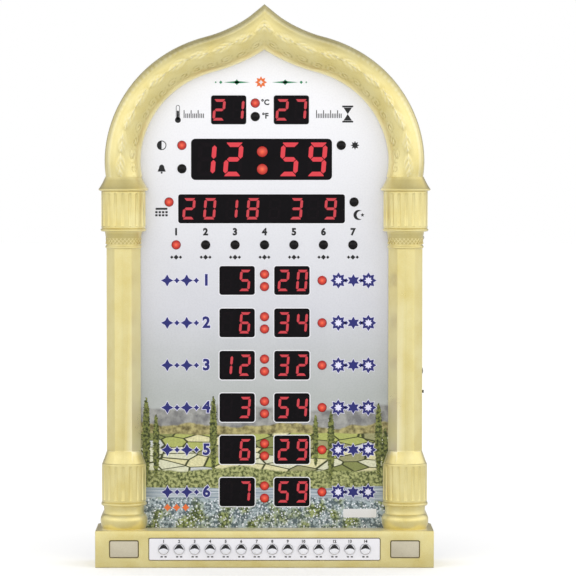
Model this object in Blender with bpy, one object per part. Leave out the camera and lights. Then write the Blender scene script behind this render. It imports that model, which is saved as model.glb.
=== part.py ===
"""Prayer-time wall and table clock: an arched case on two columns and a plinth, with LED displays.

Metres, +Z up. The face looks along -Y. The origin is on the table, under the middle of the clock.
"""

import math

import bmesh
import bpy
from mathutils import Matrix, Vector

# Fits
GAP = 0.0003
CUT_OVERRUN = 0.004
SINK = 0.0006
MERGE_DISTANCE = 0.00002

# Case wall and depth
WALL = 0.0024
CASE_DEPTH = 0.048
COVER_THICKNESS = 0.0027
COVER_INSET = 0.0004
KEY_PROTRUSION = 0.002
MOULDING_DEPTH_SHARE = 0.92
MOULDING_SETBACK = 0.0006
LIP_DEPTH = 0.0015

# Face opening and plinth
FACE_OPENING_WIDTH = 0.1766
PLINTH_HEIGHT = 0.0265
PLINTH_OVERHANG = 0.0023
PLINTH_EDGE_RADIUS = 0.0008

# Columns: radii are the shaft's radius plus a projection
SHAFT_RADIUS = 0.0121
FLARE_PROJECTION = 0.0056
DRUM_PROJECTION = 0.0036
RING_PROJECTION = 0.0042
NECK_PROJECTION = 0.0017
BEAD_PROJECTION = 0.0006
TORUS_PROJECTION = 0.0047
TORUS_SHOULDER_SHARE = 0.17
WAIST_PROJECTION = 0.0024
FLUTE_DEPTH = 0.0008
FLUTE_END = 0.0015
FACET_CORNERS = tuple(math.radians(angle) for angle in (0, 60, 90, 120, 180))

CAPITAL_FLARE_HEIGHT = 0.0084
CAPITAL_LIP_HEIGHT = 0.0018
CAPITAL_DRUM_HEIGHT = 0.0264
CAPITAL_RING_HEIGHT = 0.0024
CAPITAL_NECK_HEIGHT = 0.0096
CAPITAL_BEAD_HEIGHT = 0.0026
PEDESTAL_TORUS_HEIGHT = 0.011
PEDESTAL_WAIST_HEIGHT = 0.0052
PEDESTAL_RING_HEIGHT = 0.003
PEDESTAL_DRUM_HEIGHT = 0.0272
PEDESTAL_FLARE_HEIGHT = 0.0092

# Arch: two curves on each side, from the foot over the shoulder to the point
ARCH_RADIUS = 0.0128
ARCH_RISE = 0.1059
ARCH_FOOT_INSET = 0.0005
ARCH_STEPS_BELOW_SHOULDER = 8
ARCH_STEPS_ABOVE_SHOULDER = 4
SHOULDER_SPAN_SHARE = 0.38
SHOULDER_RISE_SHARE = 0.823
SHOULDER_SLOPE = math.radians(14.4)
POINT_SLOPE = math.radians(40.0)
FOOT_HANDLE_SHARES = (-0.056, 0.268)
SHOULDER_LOWER_HANDLE_SHARE = 0.52
SHOULDER_UPPER_HANDLE_SHARE = 0.14
POINT_HANDLE_SHARE = 0.12

# Face panel
PANEL_THICKNESS = 0.002
PANEL_EDGE_OVERLAP = 0.0035
WINDOW_CORNER_RADIUS = 0.0014
ROUND_WINDOW_CLEARANCE = 0.0003

# Display windows
ROW_COUNT = 6
ROW_WINDOW_WIDTH = 0.0253
ROW_WINDOW_HEIGHT = 0.0206
ROW_WINDOW_GAP = 0.0138
TIME_WINDOW_WIDTH = 0.1004
TIME_WINDOW_HEIGHT = 0.0294
DATE_WINDOW_WIDTH = 0.1188
DATE_WINDOW_HEIGHT = 0.0207
SMALL_WINDOW_WIDTH = 0.0251
SMALL_WINDOW_HEIGHT = 0.0206
SMALL_WINDOW_GAP = 0.0195

# The upper displays sit a little left of the middle
MAIN_DISPLAY_SHIFT = 0.0021
SMALL_DISPLAY_SHIFT = 0.0032

# Heights of the display rows, each above the one below it
FIRST_ROW_RISE = 0.0256
ROW_PITCH = 0.0303
WEEKDAY_RISE = 0.0254
DATE_RISE = 0.0257
TIME_RISE = 0.0352
SMALL_DISPLAY_RISE = 0.0352
SPRING_DROP = 0.0123

# Display modules
MODULE_DEPTH = 0.008
MODULE_RECESS = 0.0006

# Indicator lights
LED_RADIUS = 0.00305
LED_PROTRUSION = 0.0014
LED_CROWN = 0.001
COLON_HALF_PITCH = 0.0044
UNIT_LED_OFFSET = 0.0034
UNIT_HALF_PITCH = 0.0048
ROW_LED_DISTANCE = 0.0089
WEEKDAY_COUNT = 7
WEEKDAY_PITCH = 0.021
STATUS_LED_DISTANCE = 0.0065
TIME_STATUS_RISE = 0.01
TIME_STATUS_DROP = 0.0067
DATE_STATUS_RISE = 0.0048
LED_STRIP_MARGIN = 0.0008

# Display board
BOARD_THICKNESS = 0.0016
BOARD_EDGE_INSET = 0.0043
BOARD_MARGIN = 0.003
CONTROL_TAB_MARGIN = 0.006

# Plinth front: key label, keys and the two side windows
SIDE_WINDOW_WIDTH = 0.0214
SIDE_WINDOW_HEIGHT = 0.013
SIDE_WINDOW_THICKNESS = 0.0008
SIDE_WINDOW_RECESS = 0.0016
SIDE_WINDOW_END_MARGIN = 0.0098
SIDE_WINDOW_LEDGE = 0.002
LABEL_WINDOW_GAP = 0.0066
LABEL_HEIGHT = 0.0166
LABEL_THICKNESS = 0.0006
LABEL_RECESS = 0.0012
KEY_COUNT = 14
KEY_END_MARGIN = 0.0109
KEY_RADIUS = 0.0036
KEY_HOLE_CLEARANCE = 0.0003
KEY_FLANGE_WIDTH = 0.0008
KEY_FLANGE_THICKNESS = 0.0008
KEY_CROWN = 0.0014
KEY_STEM_RADIUS = 0.0016
KEY_STEM_IN_SWITCH = 0.0012
KEY_TRAVEL = 0.0008
KEY_STOP_CLEARANCE = 0.0004

# Key board and its switches
SWITCH_SIDE = 0.006
SWITCH_DEPTH = 0.0035
KEY_BOARD_THICKNESS = 0.0016
KEY_BOARD_END_MARGIN = 0.006
RECEIVER_WIDTH = 0.006
RECEIVER_HEIGHT = 0.007
RECEIVER_DEPTH = 0.003
RECEIVER_LENS_RADIUS = 0.0024
RECEIVER_LENS_DEPTH = 0.0012

# Screws and bosses
BOSS_RADIUS = 0.0038
PAD_RADIUS = 0.005
PAD_HEIGHT = 0.003
SCREW_SHANK_RADIUS = 0.0014
SCREW_LENGTH = 0.01
SCREW_HEAD_RADIUS = 0.0028
SCREW_HEAD_HEIGHT = 0.0018
SCREW_HEAD_SINK = 0.0006
SCREW_HOLE_CLEARANCE = 0.0003
SCREW_CROWN_SHARE = 0.33
SCREW_TOP_SHARE = 0.67
SCREW_DRIVE_WIDTH = 0.0009
SCREW_DRIVE_DEPTH = 0.001
LOWER_SCREW_SHARE = 0.45
UPPER_SCREW_DROP = 0.0215

# Back cover fittings
POST_RADIUS = 0.003
POST_INSET = 0.018
HANGER_INSET = 0.039
HANGER_HEAD_RADIUS = 0.0042
HANGER_SLOT_RADIUS = 0.0023
HANGER_SLOT_LENGTH = 0.0085
GRILLE_HOLE_RADIUS = 0.002
GRILLE_RING_PITCH = 0.0075
GRILLE_RING_COUNTS = (6, 12)

# Speaker
SPEAKER_RADIUS = 0.025
SPEAKER_CLEARANCE = 0.0018
SPEAKER_FLANGE_THICKNESS = 0.0012
SPEAKER_FLANGE_WIDTH = 0.0025
SPEAKER_METAL = 0.001
SPEAKER_MAGNET_RADIUS = 0.014
SPEAKER_MAGNET_DEPTH_SHARE = 0.32
SPEAKER_HOLDER_WALL = 0.0015
SPEAKER_HOLDER_HEIGHT = 0.004
CONE_THICKNESS = 0.0008
CONE_NECK_RADIUS = 0.007
CONE_DEPTH_SHARE = 0.39
DUST_CAP_RISE_SHARE = 0.36
DUST_CAP_SHOULDER_SHARE = 0.75

# Side controls, on the right-hand wall, above the pedestal
CONTROL_RISE = 0.0379
CONTROL_GAP = 0.0039
CONTROL_DEPTH_BEHIND_BOARD = 0.003
WHEEL_RADIUS = 0.0055
WHEEL_THICKNESS = 0.0026
WHEEL_PROTRUSION = 0.0014
WHEEL_PIN_RADIUS = 0.001
WHEEL_BORE_CLEARANCE = 0.0002
WHEEL_PIN_END = 0.0006
WHEEL_KNURLS = 18
WHEEL_KNURL_DEPTH = 0.0003
CONTROL_BODY_WIDTH = 0.0065
SLIDE_SWITCH_HALF_HEIGHT = 0.0043
SLIDE_SWITCH_DEPTH = 0.0042
SLIDER_HEIGHT = 0.002
SLIDER_THICKNESS = 0.0016
SLIDER_PROTRUSION = 0.0019
SLIDER_TRAVEL = 0.002
SLIDER_ROOT = 0.0025

# Temperature probe, on the right-hand wall below the capital
PROBE_RADIUS = 0.0015
PROBE_ROUNDING = 0.0006
PROBE_PROTRUSION = 0.0016
PROBE_FLANGE_RADIUS = 0.0027
PROBE_FLANGE_THICKNESS = 0.0012
PROBE_TAIL = 0.004
PROBE_NECK_SHARE = 0.5

# Power inlet
INLET_RADIUS = 0.0042
INLET_BORE_RADIUS = 0.00275
INLET_PIN_RADIUS = 0.00105
INLET_REACH_SHARE = 0.565
INLET_FLOOR = 0.0025
INLET_FLANGE_RADIUS = 0.006
INLET_FLANGE_THICKNESS = 0.0015
INLET_INSET = 0.036

# Backup cell
CELL_RADIUS = 0.01
CELL_THICKNESS = 0.0032
CELL_HOLDER_WALL = 0.0016
CELL_HOLDER_FLOOR = 0.0012
CELL_INSET = 0.038

# Facets
SHARP_ANGLE = math.radians(35)
ROUND_STEPS = 10
SMALL_ROUND_STEPS = 8
HOLE_STEPS = 6
SMOOTH_STEPS = 20
CORNER_STEPS = 1
MOULDING_STEPS = 12
HOLLOW_STEPS = 4

# Positions across the depth
REAR_Y = (CASE_DEPTH + KEY_PROTRUSION) / 2
PLINTH_FRONT_Y = REAR_Y - CASE_DEPTH
COVER_INNER_Y = REAR_Y - COVER_THICKNESS
CASE_RIM_Y = COVER_INNER_Y - GAP
WIDEST_MOULDING = SHAFT_RADIUS + FLARE_PROJECTION
MOULDING_Y = PLINTH_FRONT_Y + WIDEST_MOULDING * MOULDING_DEPTH_SHARE + MOULDING_SETBACK
LIP_Y = MOULDING_Y + LIP_DEPTH
PANEL_FRONT_Y = LIP_Y + GAP
PANEL_BACK_Y = PANEL_FRONT_Y + PANEL_THICKNESS
MODULE_FRONT_Y = PANEL_FRONT_Y + MODULE_RECESS
MODULE_BACK_Y = MODULE_FRONT_Y + MODULE_DEPTH
BOARD_FRONT_Y = MODULE_BACK_Y + GAP
BOARD_BACK_Y = BOARD_FRONT_Y + BOARD_THICKNESS
CONTROL_FRONT_Y = BOARD_BACK_Y + GAP
CONTROL_BACK_Y = CONTROL_FRONT_Y + CONTROL_DEPTH_BEHIND_BOARD
BACK_ROOM = COVER_INNER_Y - BOARD_BACK_Y
SPEAKER_DEPTH = BACK_ROOM - GAP - SPEAKER_CLEARANCE
SPEAKER_MAGNET_DEPTH = SPEAKER_DEPTH * SPEAKER_MAGNET_DEPTH_SHARE
CONE_DEPTH = SPEAKER_DEPTH * CONE_DEPTH_SHARE
DUST_CAP_RISE = CONE_DEPTH * DUST_CAP_RISE_SHARE
INLET_DEPTH = COVER_THICKNESS - GAP + BACK_ROOM * INLET_REACH_SHARE

# Positions across the width
COLUMN_X = FACE_OPENING_WIDTH / 2 + SHAFT_RADIUS
SIDE_WALL_OUTER_X = COLUMN_X + SHAFT_RADIUS
SIDE_WALL_INNER_X = SIDE_WALL_OUTER_X - WALL
PLINTH_HALF_WIDTH = COLUMN_X + WIDEST_MOULDING + PLINTH_OVERHANG
SIDE_WINDOW_X = PLINTH_HALF_WIDTH - SIDE_WINDOW_END_MARGIN - SIDE_WINDOW_WIDTH / 2
LABEL_HALF_WIDTH = SIDE_WINDOW_X - SIDE_WINDOW_WIDTH / 2 - LABEL_WINDOW_GAP
KEY_PITCH = (LABEL_HALF_WIDTH - KEY_END_MARGIN) * 2 / (KEY_COUNT - 1)
PANEL_HALF_WIDTH = FACE_OPENING_WIDTH / 2 + PANEL_EDGE_OVERLAP
BOARD_HALF_WIDTH = FACE_OPENING_WIDTH / 2 - BOARD_EDGE_INSET
POST_X = BOARD_HALF_WIDTH - POST_INSET
HANGER_X = BOARD_HALF_WIDTH - HANGER_INSET
INLET_X = BOARD_HALF_WIDTH - INLET_INSET
CELL_X = -(BOARD_HALF_WIDTH - CELL_INSET)
ROW_WINDOW_X = (ROW_WINDOW_GAP + ROW_WINDOW_WIDTH) / 2
SMALL_WINDOW_X = (SMALL_WINDOW_GAP + SMALL_WINDOW_WIDTH) / 2
ROW_LED_X = ROW_WINDOW_X + ROW_WINDOW_WIDTH / 2 + ROW_LED_DISTANCE
MAIN_X = -MAIN_DISPLAY_SHIFT
SMALL_X = -SMALL_DISPLAY_SHIFT
TIME_STATUS_X = TIME_WINDOW_WIDTH / 2 + STATUS_LED_DISTANCE
DATE_STATUS_X = DATE_WINDOW_WIDTH / 2 + STATUS_LED_DISTANCE
BOARD_TOP_HALF_WIDTH = SMALL_DISPLAY_SHIFT + SMALL_WINDOW_X + SMALL_WINDOW_WIDTH / 2 + BOARD_MARGIN

# Heights
LOWEST_ROW_Z = PLINTH_HEIGHT + FIRST_ROW_RISE
TOP_ROW_Z = LOWEST_ROW_Z + ROW_PITCH * (ROW_COUNT - 1)
WEEKDAY_Z = TOP_ROW_Z + WEEKDAY_RISE
DATE_Z = WEEKDAY_Z + DATE_RISE
TIME_Z = DATE_Z + TIME_RISE
SMALL_DISPLAY_Z = TIME_Z + SMALL_DISPLAY_RISE
SPRING_Z = TIME_Z - SPRING_DROP
KEY_Z = PLINTH_HEIGHT / 2
PEDESTAL_HEIGHT = (
    PEDESTAL_TORUS_HEIGHT
    + PEDESTAL_WAIST_HEIGHT
    + PEDESTAL_RING_HEIGHT
    + PEDESTAL_DRUM_HEIGHT
    + PEDESTAL_FLARE_HEIGHT
)
PEDESTAL_TOP_Z = PLINTH_HEIGHT + PEDESTAL_HEIGHT
CAPITAL_HEIGHT = (
    CAPITAL_FLARE_HEIGHT
    + CAPITAL_LIP_HEIGHT
    + CAPITAL_DRUM_HEIGHT
    + CAPITAL_RING_HEIGHT
    + CAPITAL_NECK_HEIGHT
    + CAPITAL_BEAD_HEIGHT
)
CAPITAL_BASE_Z = SPRING_Z - CAPITAL_HEIGHT
PROBE_Z = CAPITAL_BASE_Z + CAPITAL_BEAD_HEIGHT + CAPITAL_NECK_HEIGHT * PROBE_NECK_SHARE
APEX_CENTRE_Z = SPRING_Z + ARCH_RISE
SWITCH_Z = PEDESTAL_TOP_Z + CONTROL_RISE + SLIDE_SWITCH_HALF_HEIGHT
WHEEL_Z = SWITCH_Z + SLIDE_SWITCH_HALF_HEIGHT + CONTROL_GAP + WHEEL_RADIUS
SPEAKER_Z = LOWEST_ROW_Z + ROW_PITCH * 2
CELL_Z = LOWEST_ROW_Z + ROW_PITCH * 4
INLET_Z = LOWEST_ROW_Z + ROW_PITCH / 2
HANGER_Z = DATE_Z
LOWER_POST_Z = LOWEST_ROW_Z + ROW_PITCH
UPPER_POST_Z = TOP_ROW_Z

# Surface finishes: colour, roughness, metallic
FINISHES = {
    "champagne_gold": ((0.78, 0.68, 0.38), 0.32, 0.45),
    "charcoal_plastic": ((0.03, 0.03, 0.032), 0.55, 0.0),
    "printed_silver": ((0.78, 0.79, 0.83), 0.25, 0.1),
    "display_black": ((0.012, 0.01, 0.012), 0.2, 0.0),
    "led_red": ((0.85, 0.08, 0.03), 0.15, 0.0),
    "label_white": ((0.93, 0.93, 0.95), 0.4, 0.0),
    "key_white": ((0.9, 0.9, 0.92), 0.2, 0.0),
    "window_grey": ((0.6, 0.57, 0.5), 0.45, 0.3),
    "board_green": ((0.03, 0.2, 0.09), 0.5, 0.0),
    "steel": ((0.6, 0.6, 0.62), 0.3, 1.0),
    "speaker_steel": ((0.35, 0.35, 0.37), 0.45, 0.9),
    "paper_black": ((0.02, 0.02, 0.02), 0.85, 0.0),
    "control_black": ((0.02, 0.02, 0.02), 0.45, 0.0),
}


def clear_scene():
    for item in list(bpy.data.objects):
        bpy.data.objects.remove(item, do_unlink=True)


def make_finishes():
    for name, (colour, roughness, metallic) in FINISHES.items():
        material = bpy.data.materials.new(name)
        material.use_nodes = True
        shader = material.node_tree.nodes["Principled BSDF"]
        shader.inputs["Base Color"].default_value = (*colour, 1.0)
        shader.inputs["Roughness"].default_value = roughness
        shader.inputs["Metallic"].default_value = metallic


def object_from(bm, name, finish=None, origin=(0, 0, 0)):
    """An object of this mesh, with its origin at a point of the clock."""
    bmesh.ops.translate(bm, vec=-Vector(origin), verts=bm.verts)
    bmesh.ops.recalc_face_normals(bm, faces=bm.faces)
    mesh = bpy.data.meshes.new(name)
    bm.to_mesh(mesh)
    bm.free()
    mesh.shade_smooth()
    mesh.set_sharp_from_angle(angle=SHARP_ANGLE)
    made = bpy.data.objects.new(name, mesh)
    made.location = origin
    bpy.context.scene.collection.objects.link(made)
    if finish:
        mesh.materials.append(bpy.data.materials[finish])
    return made


def helper_from(bm, name):
    """A cutter or a piece to be joined, which isn't itself part of the clock."""
    made = object_from(bm, name)
    made.hide_render = True
    made.display_type = "WIRE"
    return made


def combine(target, other, operation):
    modifier = target.modifiers.new(other.name, "BOOLEAN")
    modifier.operation = operation
    modifier.solver = "EXACT"
    modifier.object = other


def add_box(bm, low, high):
    """A box between two corners."""
    made = bmesh.ops.create_cube(bm, size=1.0)["verts"]
    bmesh.ops.scale(bm, vec=Vector(high) - Vector(low), verts=made)
    bmesh.ops.translate(bm, vec=(Vector(high) + Vector(low)) / 2, verts=made)


def add_prism(bm, outline, y_front, y_back):
    """An outline of (x, z) points, as a plate between two depths."""
    front = [bm.verts.new((x, y_front, z)) for x, z in outline]
    face = bm.faces.new(front)
    grown = bmesh.ops.extrude_face_region(bm, geom=[face])["geom"]
    moved = [item for item in grown if isinstance(item, bmesh.types.BMVert)]
    bmesh.ops.translate(bm, vec=(0, y_back - y_front, 0), verts=moved)


def add_turned(bm, profile, x, z, steps):
    """A profile of (radius, y) points, from the axis to the axis, turned about a line along Y."""
    wire = [bm.verts.new((x + radius, y, z)) for radius, y in profile]
    edges = [bm.edges.new(pair) for pair in zip(wire, wire[1:])]
    bmesh.ops.spin(
        bm,
        geom=wire + edges,
        cent=(x, 0, z),
        axis=(0, 1, 0),
        angle=math.tau,
        steps=steps,
        use_merge=True,
    )
    bmesh.ops.remove_doubles(bm, verts=bm.verts, dist=MERGE_DISTANCE)


def rounded_rectangle(x, z, width, height, radius, steps=CORNER_STEPS):
    """Outline points of a rectangle with round corners, about a centre."""
    points = []
    corners = ((1, 1), (-1, 1), (-1, -1), (1, -1))
    for quarter, (side, level) in enumerate(corners):
        centre_x = x + side * (width / 2 - radius)
        centre_z = z + level * (height / 2 - radius)
        for step in range(steps + 1):
            angle = math.pi / 2 * (quarter + step / steps)
            points.append((centre_x + radius * math.cos(angle), centre_z + radius * math.sin(angle)))
    return points


def circle(x, z, radius, steps=ROUND_STEPS):
    turns = [math.tau * step / steps for step in range(steps)]
    return [(x + radius * math.cos(turn), z + radius * math.sin(turn)) for turn in turns]


def dome_profile(radius, crown, front_y, steps=2):
    """Profile points of a dome that looks along -Y, from its top on the axis to its edge."""
    points = []
    for step in range(steps + 1):
        angle = math.pi / 2 * step / steps
        points.append((radius * math.sin(angle), front_y + crown * (1 - math.cos(angle))))
    return points


def bezier(start, first, second, end, share):
    keep = 1 - share
    weights = (keep**3, 3 * keep**2 * share, 3 * keep * share**2, share**3)
    weighted = (weight * point for weight, point in zip(weights, (start, first, second, end)))
    return sum(weighted, Vector((0, 0)))


def arch_centre_line():
    """Points (x, z) up the left half of the arch's centre line, from its foot to its point."""
    foot = Vector((-COLUMN_X + ARCH_FOOT_INSET, SPRING_Z))
    apex = Vector((0, APEX_CENTRE_Z))
    shoulder = Vector((-COLUMN_X * SHOULDER_SPAN_SHARE, SPRING_Z + ARCH_RISE * SHOULDER_RISE_SHARE))
    level = Vector((math.cos(SHOULDER_SLOPE), math.sin(SHOULDER_SLOPE)))
    steep = Vector((math.cos(POINT_SLOPE), math.sin(POINT_SLOPE)))
    out_share, up_share = FOOT_HANDLE_SHARES
    foot_handle = foot + Vector((COLUMN_X * out_share, ARCH_RISE * up_share))
    lower_handle = shoulder - level * COLUMN_X * SHOULDER_LOWER_HANDLE_SHARE
    upper_handle = shoulder + level * COLUMN_X * SHOULDER_UPPER_HANDLE_SHARE
    point_handle = apex - steep * COLUMN_X * POINT_HANDLE_SHARE
    points = [
        bezier(foot, foot_handle, lower_handle, shoulder, step / ARCH_STEPS_BELOW_SHOULDER)
        for step in range(ARCH_STEPS_BELOW_SHOULDER)
    ]
    points += [
        bezier(shoulder, upper_handle, point_handle, apex, step / ARCH_STEPS_ABOVE_SHOULDER)
        for step in range(ARCH_STEPS_ABOVE_SHOULDER + 1)
    ]
    return points


def column_levels():
    """(height, radius, form) up one column; form is round, fluted or faceted."""
    rise = PLINTH_HEIGHT - SINK
    torus, waist = SHAFT_RADIUS + TORUS_PROJECTION, SHAFT_RADIUS + WAIST_PROJECTION
    ring, drum = SHAFT_RADIUS + RING_PROJECTION, SHAFT_RADIUS + DRUM_PROJECTION
    flare, neck = SHAFT_RADIUS + FLARE_PROJECTION, SHAFT_RADIUS + NECK_PROJECTION
    bead = SHAFT_RADIUS + BEAD_PROJECTION
    torus_middle = PLINTH_HEIGHT + PEDESTAL_TORUS_HEIGHT / 2
    torus_top = PLINTH_HEIGHT + PEDESTAL_TORUS_HEIGHT
    torus_shoulder = PEDESTAL_TORUS_HEIGHT * TORUS_SHOULDER_SHARE
    ring_base = torus_top + PEDESTAL_WAIST_HEIGHT
    drum_base = ring_base + PEDESTAL_RING_HEIGHT
    drum_top = drum_base + PEDESTAL_DRUM_HEIGHT
    levels = [
        (rise, waist, "round"),
        (PLINTH_HEIGHT + torus_shoulder, torus - FLUTE_DEPTH, "round"),
        (torus_middle, torus, "round"),
        (torus_top - torus_shoulder, torus - FLUTE_DEPTH, "round"),
        (torus_top, waist, "round"),
        (ring_base, waist, "round"),
        (ring_base + FLUTE_DEPTH, ring, "round"),
        (drum_base - FLUTE_DEPTH, ring, "round"),
        (drum_base, drum, "round"),
        (drum_base + FLUTE_END, drum, "fluted"),
        (drum_top - FLUTE_END, drum, "fluted"),
        (drum_top, drum, "round"),
        (PEDESTAL_TOP_Z, SHAFT_RADIUS, "faceted"),
        (CAPITAL_BASE_Z - GAP, SHAFT_RADIUS, "faceted"),
    ]
    bead_top = CAPITAL_BASE_Z + CAPITAL_BEAD_HEIGHT
    neck_top = bead_top + CAPITAL_NECK_HEIGHT
    ring_top = neck_top + CAPITAL_RING_HEIGHT
    top_drum_top = ring_top + CAPITAL_DRUM_HEIGHT
    lip_top = top_drum_top + CAPITAL_LIP_HEIGHT
    levels += [
        (CAPITAL_BASE_Z, bead, "round"),
        (bead_top - GAP, bead, "round"),
        (bead_top, SHAFT_RADIUS, "round"),
        (neck_top - GAP, neck, "round"),
        (neck_top, ring, "round"),
        (ring_top - GAP, ring, "round"),
        (ring_top, drum, "round"),
        (ring_top + FLUTE_END, drum, "fluted"),
        (top_drum_top - FLUTE_END, drum, "fluted"),
        (top_drum_top - GAP, drum, "round"),
        (top_drum_top, flare - FLUTE_DEPTH, "round"),
        (lip_top, flare, "round"),
    ]
    return levels


def moulding_stations():
    """(centre, outward direction, stretch, radius, form) from the left foot over the arch to the other."""
    left = Vector((-1, 0))
    stations = [
        (Vector((-COLUMN_X, z)), left, 1.0, radius, form) for z, radius, form in column_levels()
    ]
    line = arch_centre_line()
    for index, point in enumerate(line):
        if index == len(line) - 1:
            outward = Vector((0, 1))
            stretch = 1 / math.cos(POINT_SLOPE)
        else:
            before = line[index - 1] if index else point
            along = (line[index + 1] - before).normalized()
            outward = left if index == 0 else Vector((-along.y, along.x))
            stretch = 1.0
        stations.append((point, outward, stretch, ARCH_RADIUS, "round"))
    mirrored = [
        (Vector((-centre.x, centre.y)), Vector((-outward.x, outward.y)), stretch, radius, form)
        for centre, outward, stretch, radius, form in reversed(stations[:-1])
    ]
    return stations + mirrored


def facet_reach(angle):
    """How far the column's flat facets lie from its centre, as a share of its radius."""
    facets = zip(FACET_CORNERS, FACET_CORNERS[1:])
    low, high = next((low, high) for low, high in facets if angle <= high)
    return math.cos((high - low) / 2) / math.cos(angle - (low + high) / 2)


def moulding_section(radius, form):
    """(outward, y) points round the hollow moulding: its outer skin, then its inner one."""
    points = [(radius, CASE_RIM_Y)]
    for step in range(MOULDING_STEPS + 1):
        angle = math.pi * step / MOULDING_STEPS
        reach = radius
        if form == "fluted" and step % 2:
            reach = radius - FLUTE_DEPTH
        if form == "faceted":
            reach = radius * facet_reach(angle)
        points.append(moulding_point(reach, angle))
    points.append((-radius, LIP_Y))
    points.append((WALL - radius, LIP_Y))
    for step in range(HOLLOW_STEPS + 1):
        angle = math.pi * (1 - step / HOLLOW_STEPS)
        reach = radius * facet_reach(angle) if form == "faceted" else radius
        points.append(moulding_point(reach - WALL, angle))
    points.append((radius - WALL, CASE_RIM_Y))
    return points


def moulding_point(reach, angle):
    """A point of the moulding's flattened half round, as (outward, y)."""
    return reach * math.cos(angle), MOULDING_Y - MOULDING_DEPTH_SHARE * reach * math.sin(angle)


def moulding_mesh():
    """The hollow arch and columns, as one skin through all stations."""
    bm = bmesh.new()
    rings = []
    for centre, outward, stretch, radius, form in moulding_stations():
        ring = []
        for reach, y in moulding_section(radius, form):
            place = centre + outward * reach * stretch
            ring.append(bm.verts.new((place.x, y, place.y)))
        rings.append(ring)
    for lower, upper in zip(rings, rings[1:]):
        for index in range(len(lower)):
            after = (index + 1) % len(lower)
            bm.faces.new((lower[index], lower[after], upper[after], upper[index]))
    bm.faces.new(rings[0])
    bm.faces.new(rings[-1])
    return bm


def outer_outline(inset):
    """(x, z) points round the clock's silhouette, moved inwards by an inset."""
    points = []
    for centre, outward, stretch, radius, form in moulding_stations():
        points.append(centre + outward * (radius - inset) * stretch)
    half = PLINTH_HALF_WIDTH - inset
    top = PLINTH_HEIGHT - inset
    points = [point for point in points if point.y > PLINTH_HEIGHT]
    left_foot = (points[0].x, top)
    right_foot = (points[-1].x, top)
    outline = [(half, top), (half, inset), (-half, inset), (-half, top), left_foot]
    return outline + [tuple(point) for point in points] + [right_foot]


def face_outline():
    """(x, z) points round the face panel, which runs a little way behind the moulding."""
    line = arch_centre_line()
    reach = ARCH_RADIUS - PANEL_EDGE_OVERLAP
    points = []
    for index, point in enumerate(line):
        if index == len(line) - 1:
            points.append(point - Vector((0, 1)) * reach / math.cos(POINT_SLOPE))
        elif index:
            along = (line[index + 1] - line[index - 1]).normalized()
            points.append(point + Vector((along.y, -along.x)) * reach)
    left = [(-PANEL_HALF_WIDTH, PLINTH_HEIGHT - WALL), (-PANEL_HALF_WIDTH, SPRING_Z)]
    left += [tuple(point) for point in points]
    right = [(-x, z) for x, z in reversed(left[:-1])]
    return left + right


def row_heights():
    """Heights of the six display rows, from the top."""
    return [TOP_ROW_Z - ROW_PITCH * row for row in range(ROW_COUNT)]


def display_windows():
    """(name, x, z, width, height) of every display window."""
    left, right = SMALL_X - SMALL_WINDOW_X, SMALL_X + SMALL_WINDOW_X
    windows = [
        ("display_time", MAIN_X, TIME_Z, TIME_WINDOW_WIDTH, TIME_WINDOW_HEIGHT),
        ("display_date", MAIN_X, DATE_Z, DATE_WINDOW_WIDTH, DATE_WINDOW_HEIGHT),
        ("display_temperature", left, SMALL_DISPLAY_Z, SMALL_WINDOW_WIDTH, SMALL_WINDOW_HEIGHT),
        ("display_countdown", right, SMALL_DISPLAY_Z, SMALL_WINDOW_WIDTH, SMALL_WINDOW_HEIGHT),
    ]
    for row, z in enumerate(row_heights(), 1):
        windows.append((f"row_{row}_hours", -ROW_WINDOW_X, z, ROW_WINDOW_WIDTH, ROW_WINDOW_HEIGHT))
        windows.append((f"row_{row}_minutes", ROW_WINDOW_X, z, ROW_WINDOW_WIDTH, ROW_WINDOW_HEIGHT))
    return windows


def light_groups():
    """(name, places of the lights, runs of the carrier strip) of each group of indicator lights."""
    weekdays = [(WEEKDAY_PITCH * (day - (WEEKDAY_COUNT - 1) / 2), WEEKDAY_Z) for day in range(WEEKDAY_COUNT)]
    colons = [(0, z + side * COLON_HALF_PITCH) for z in row_heights() for side in (1, -1)]
    rows = [(ROW_LED_X, z) for z in row_heights()]
    unit_x = SMALL_X - UNIT_LED_OFFSET
    units = [(unit_x, SMALL_DISPLAY_Z + side * UNIT_HALF_PITCH) for side in (1, -1)]
    upper = TIME_Z + TIME_STATUS_RISE
    lower = TIME_Z - TIME_STATUS_DROP
    calendar = DATE_Z + DATE_STATUS_RISE
    near_left, far_left = MAIN_X - TIME_STATUS_X, MAIN_X - DATE_STATUS_X
    near_right, far_right = MAIN_X + TIME_STATUS_X, MAIN_X + DATE_STATUS_X
    left = [(near_left, upper), (near_left, lower), (far_left, calendar)]
    right = [(near_right, upper), (far_right, calendar)]
    left_runs = [
        ((far_left, calendar), (far_left, upper)),
        ((far_left, upper), (near_left, upper)),
        ((far_left, lower), (near_left, lower)),
    ]
    right_runs = [
        ((far_right, calendar), (far_right, upper)),
        ((near_right, upper), (far_right, upper)),
    ]
    return [
        ("weekday_lights", weekdays, [(weekdays[0], weekdays[-1])]),
        ("colon_lights", colons, [(colons[-1], colons[0])]),
        ("row_lights", rows, [(rows[-1], rows[0])]),
        ("unit_lights", units, [(units[-1], units[0])]),
        ("left_status_lights", left, left_runs),
        ("right_status_lights", right, right_runs),
    ]


def key_places():
    """(name, x) of each key, from the left."""
    first = -KEY_PITCH * (KEY_COUNT - 1) / 2
    return [(f"key_{index + 1:02d}", first + KEY_PITCH * index) for index in range(KEY_COUNT)]


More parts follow.
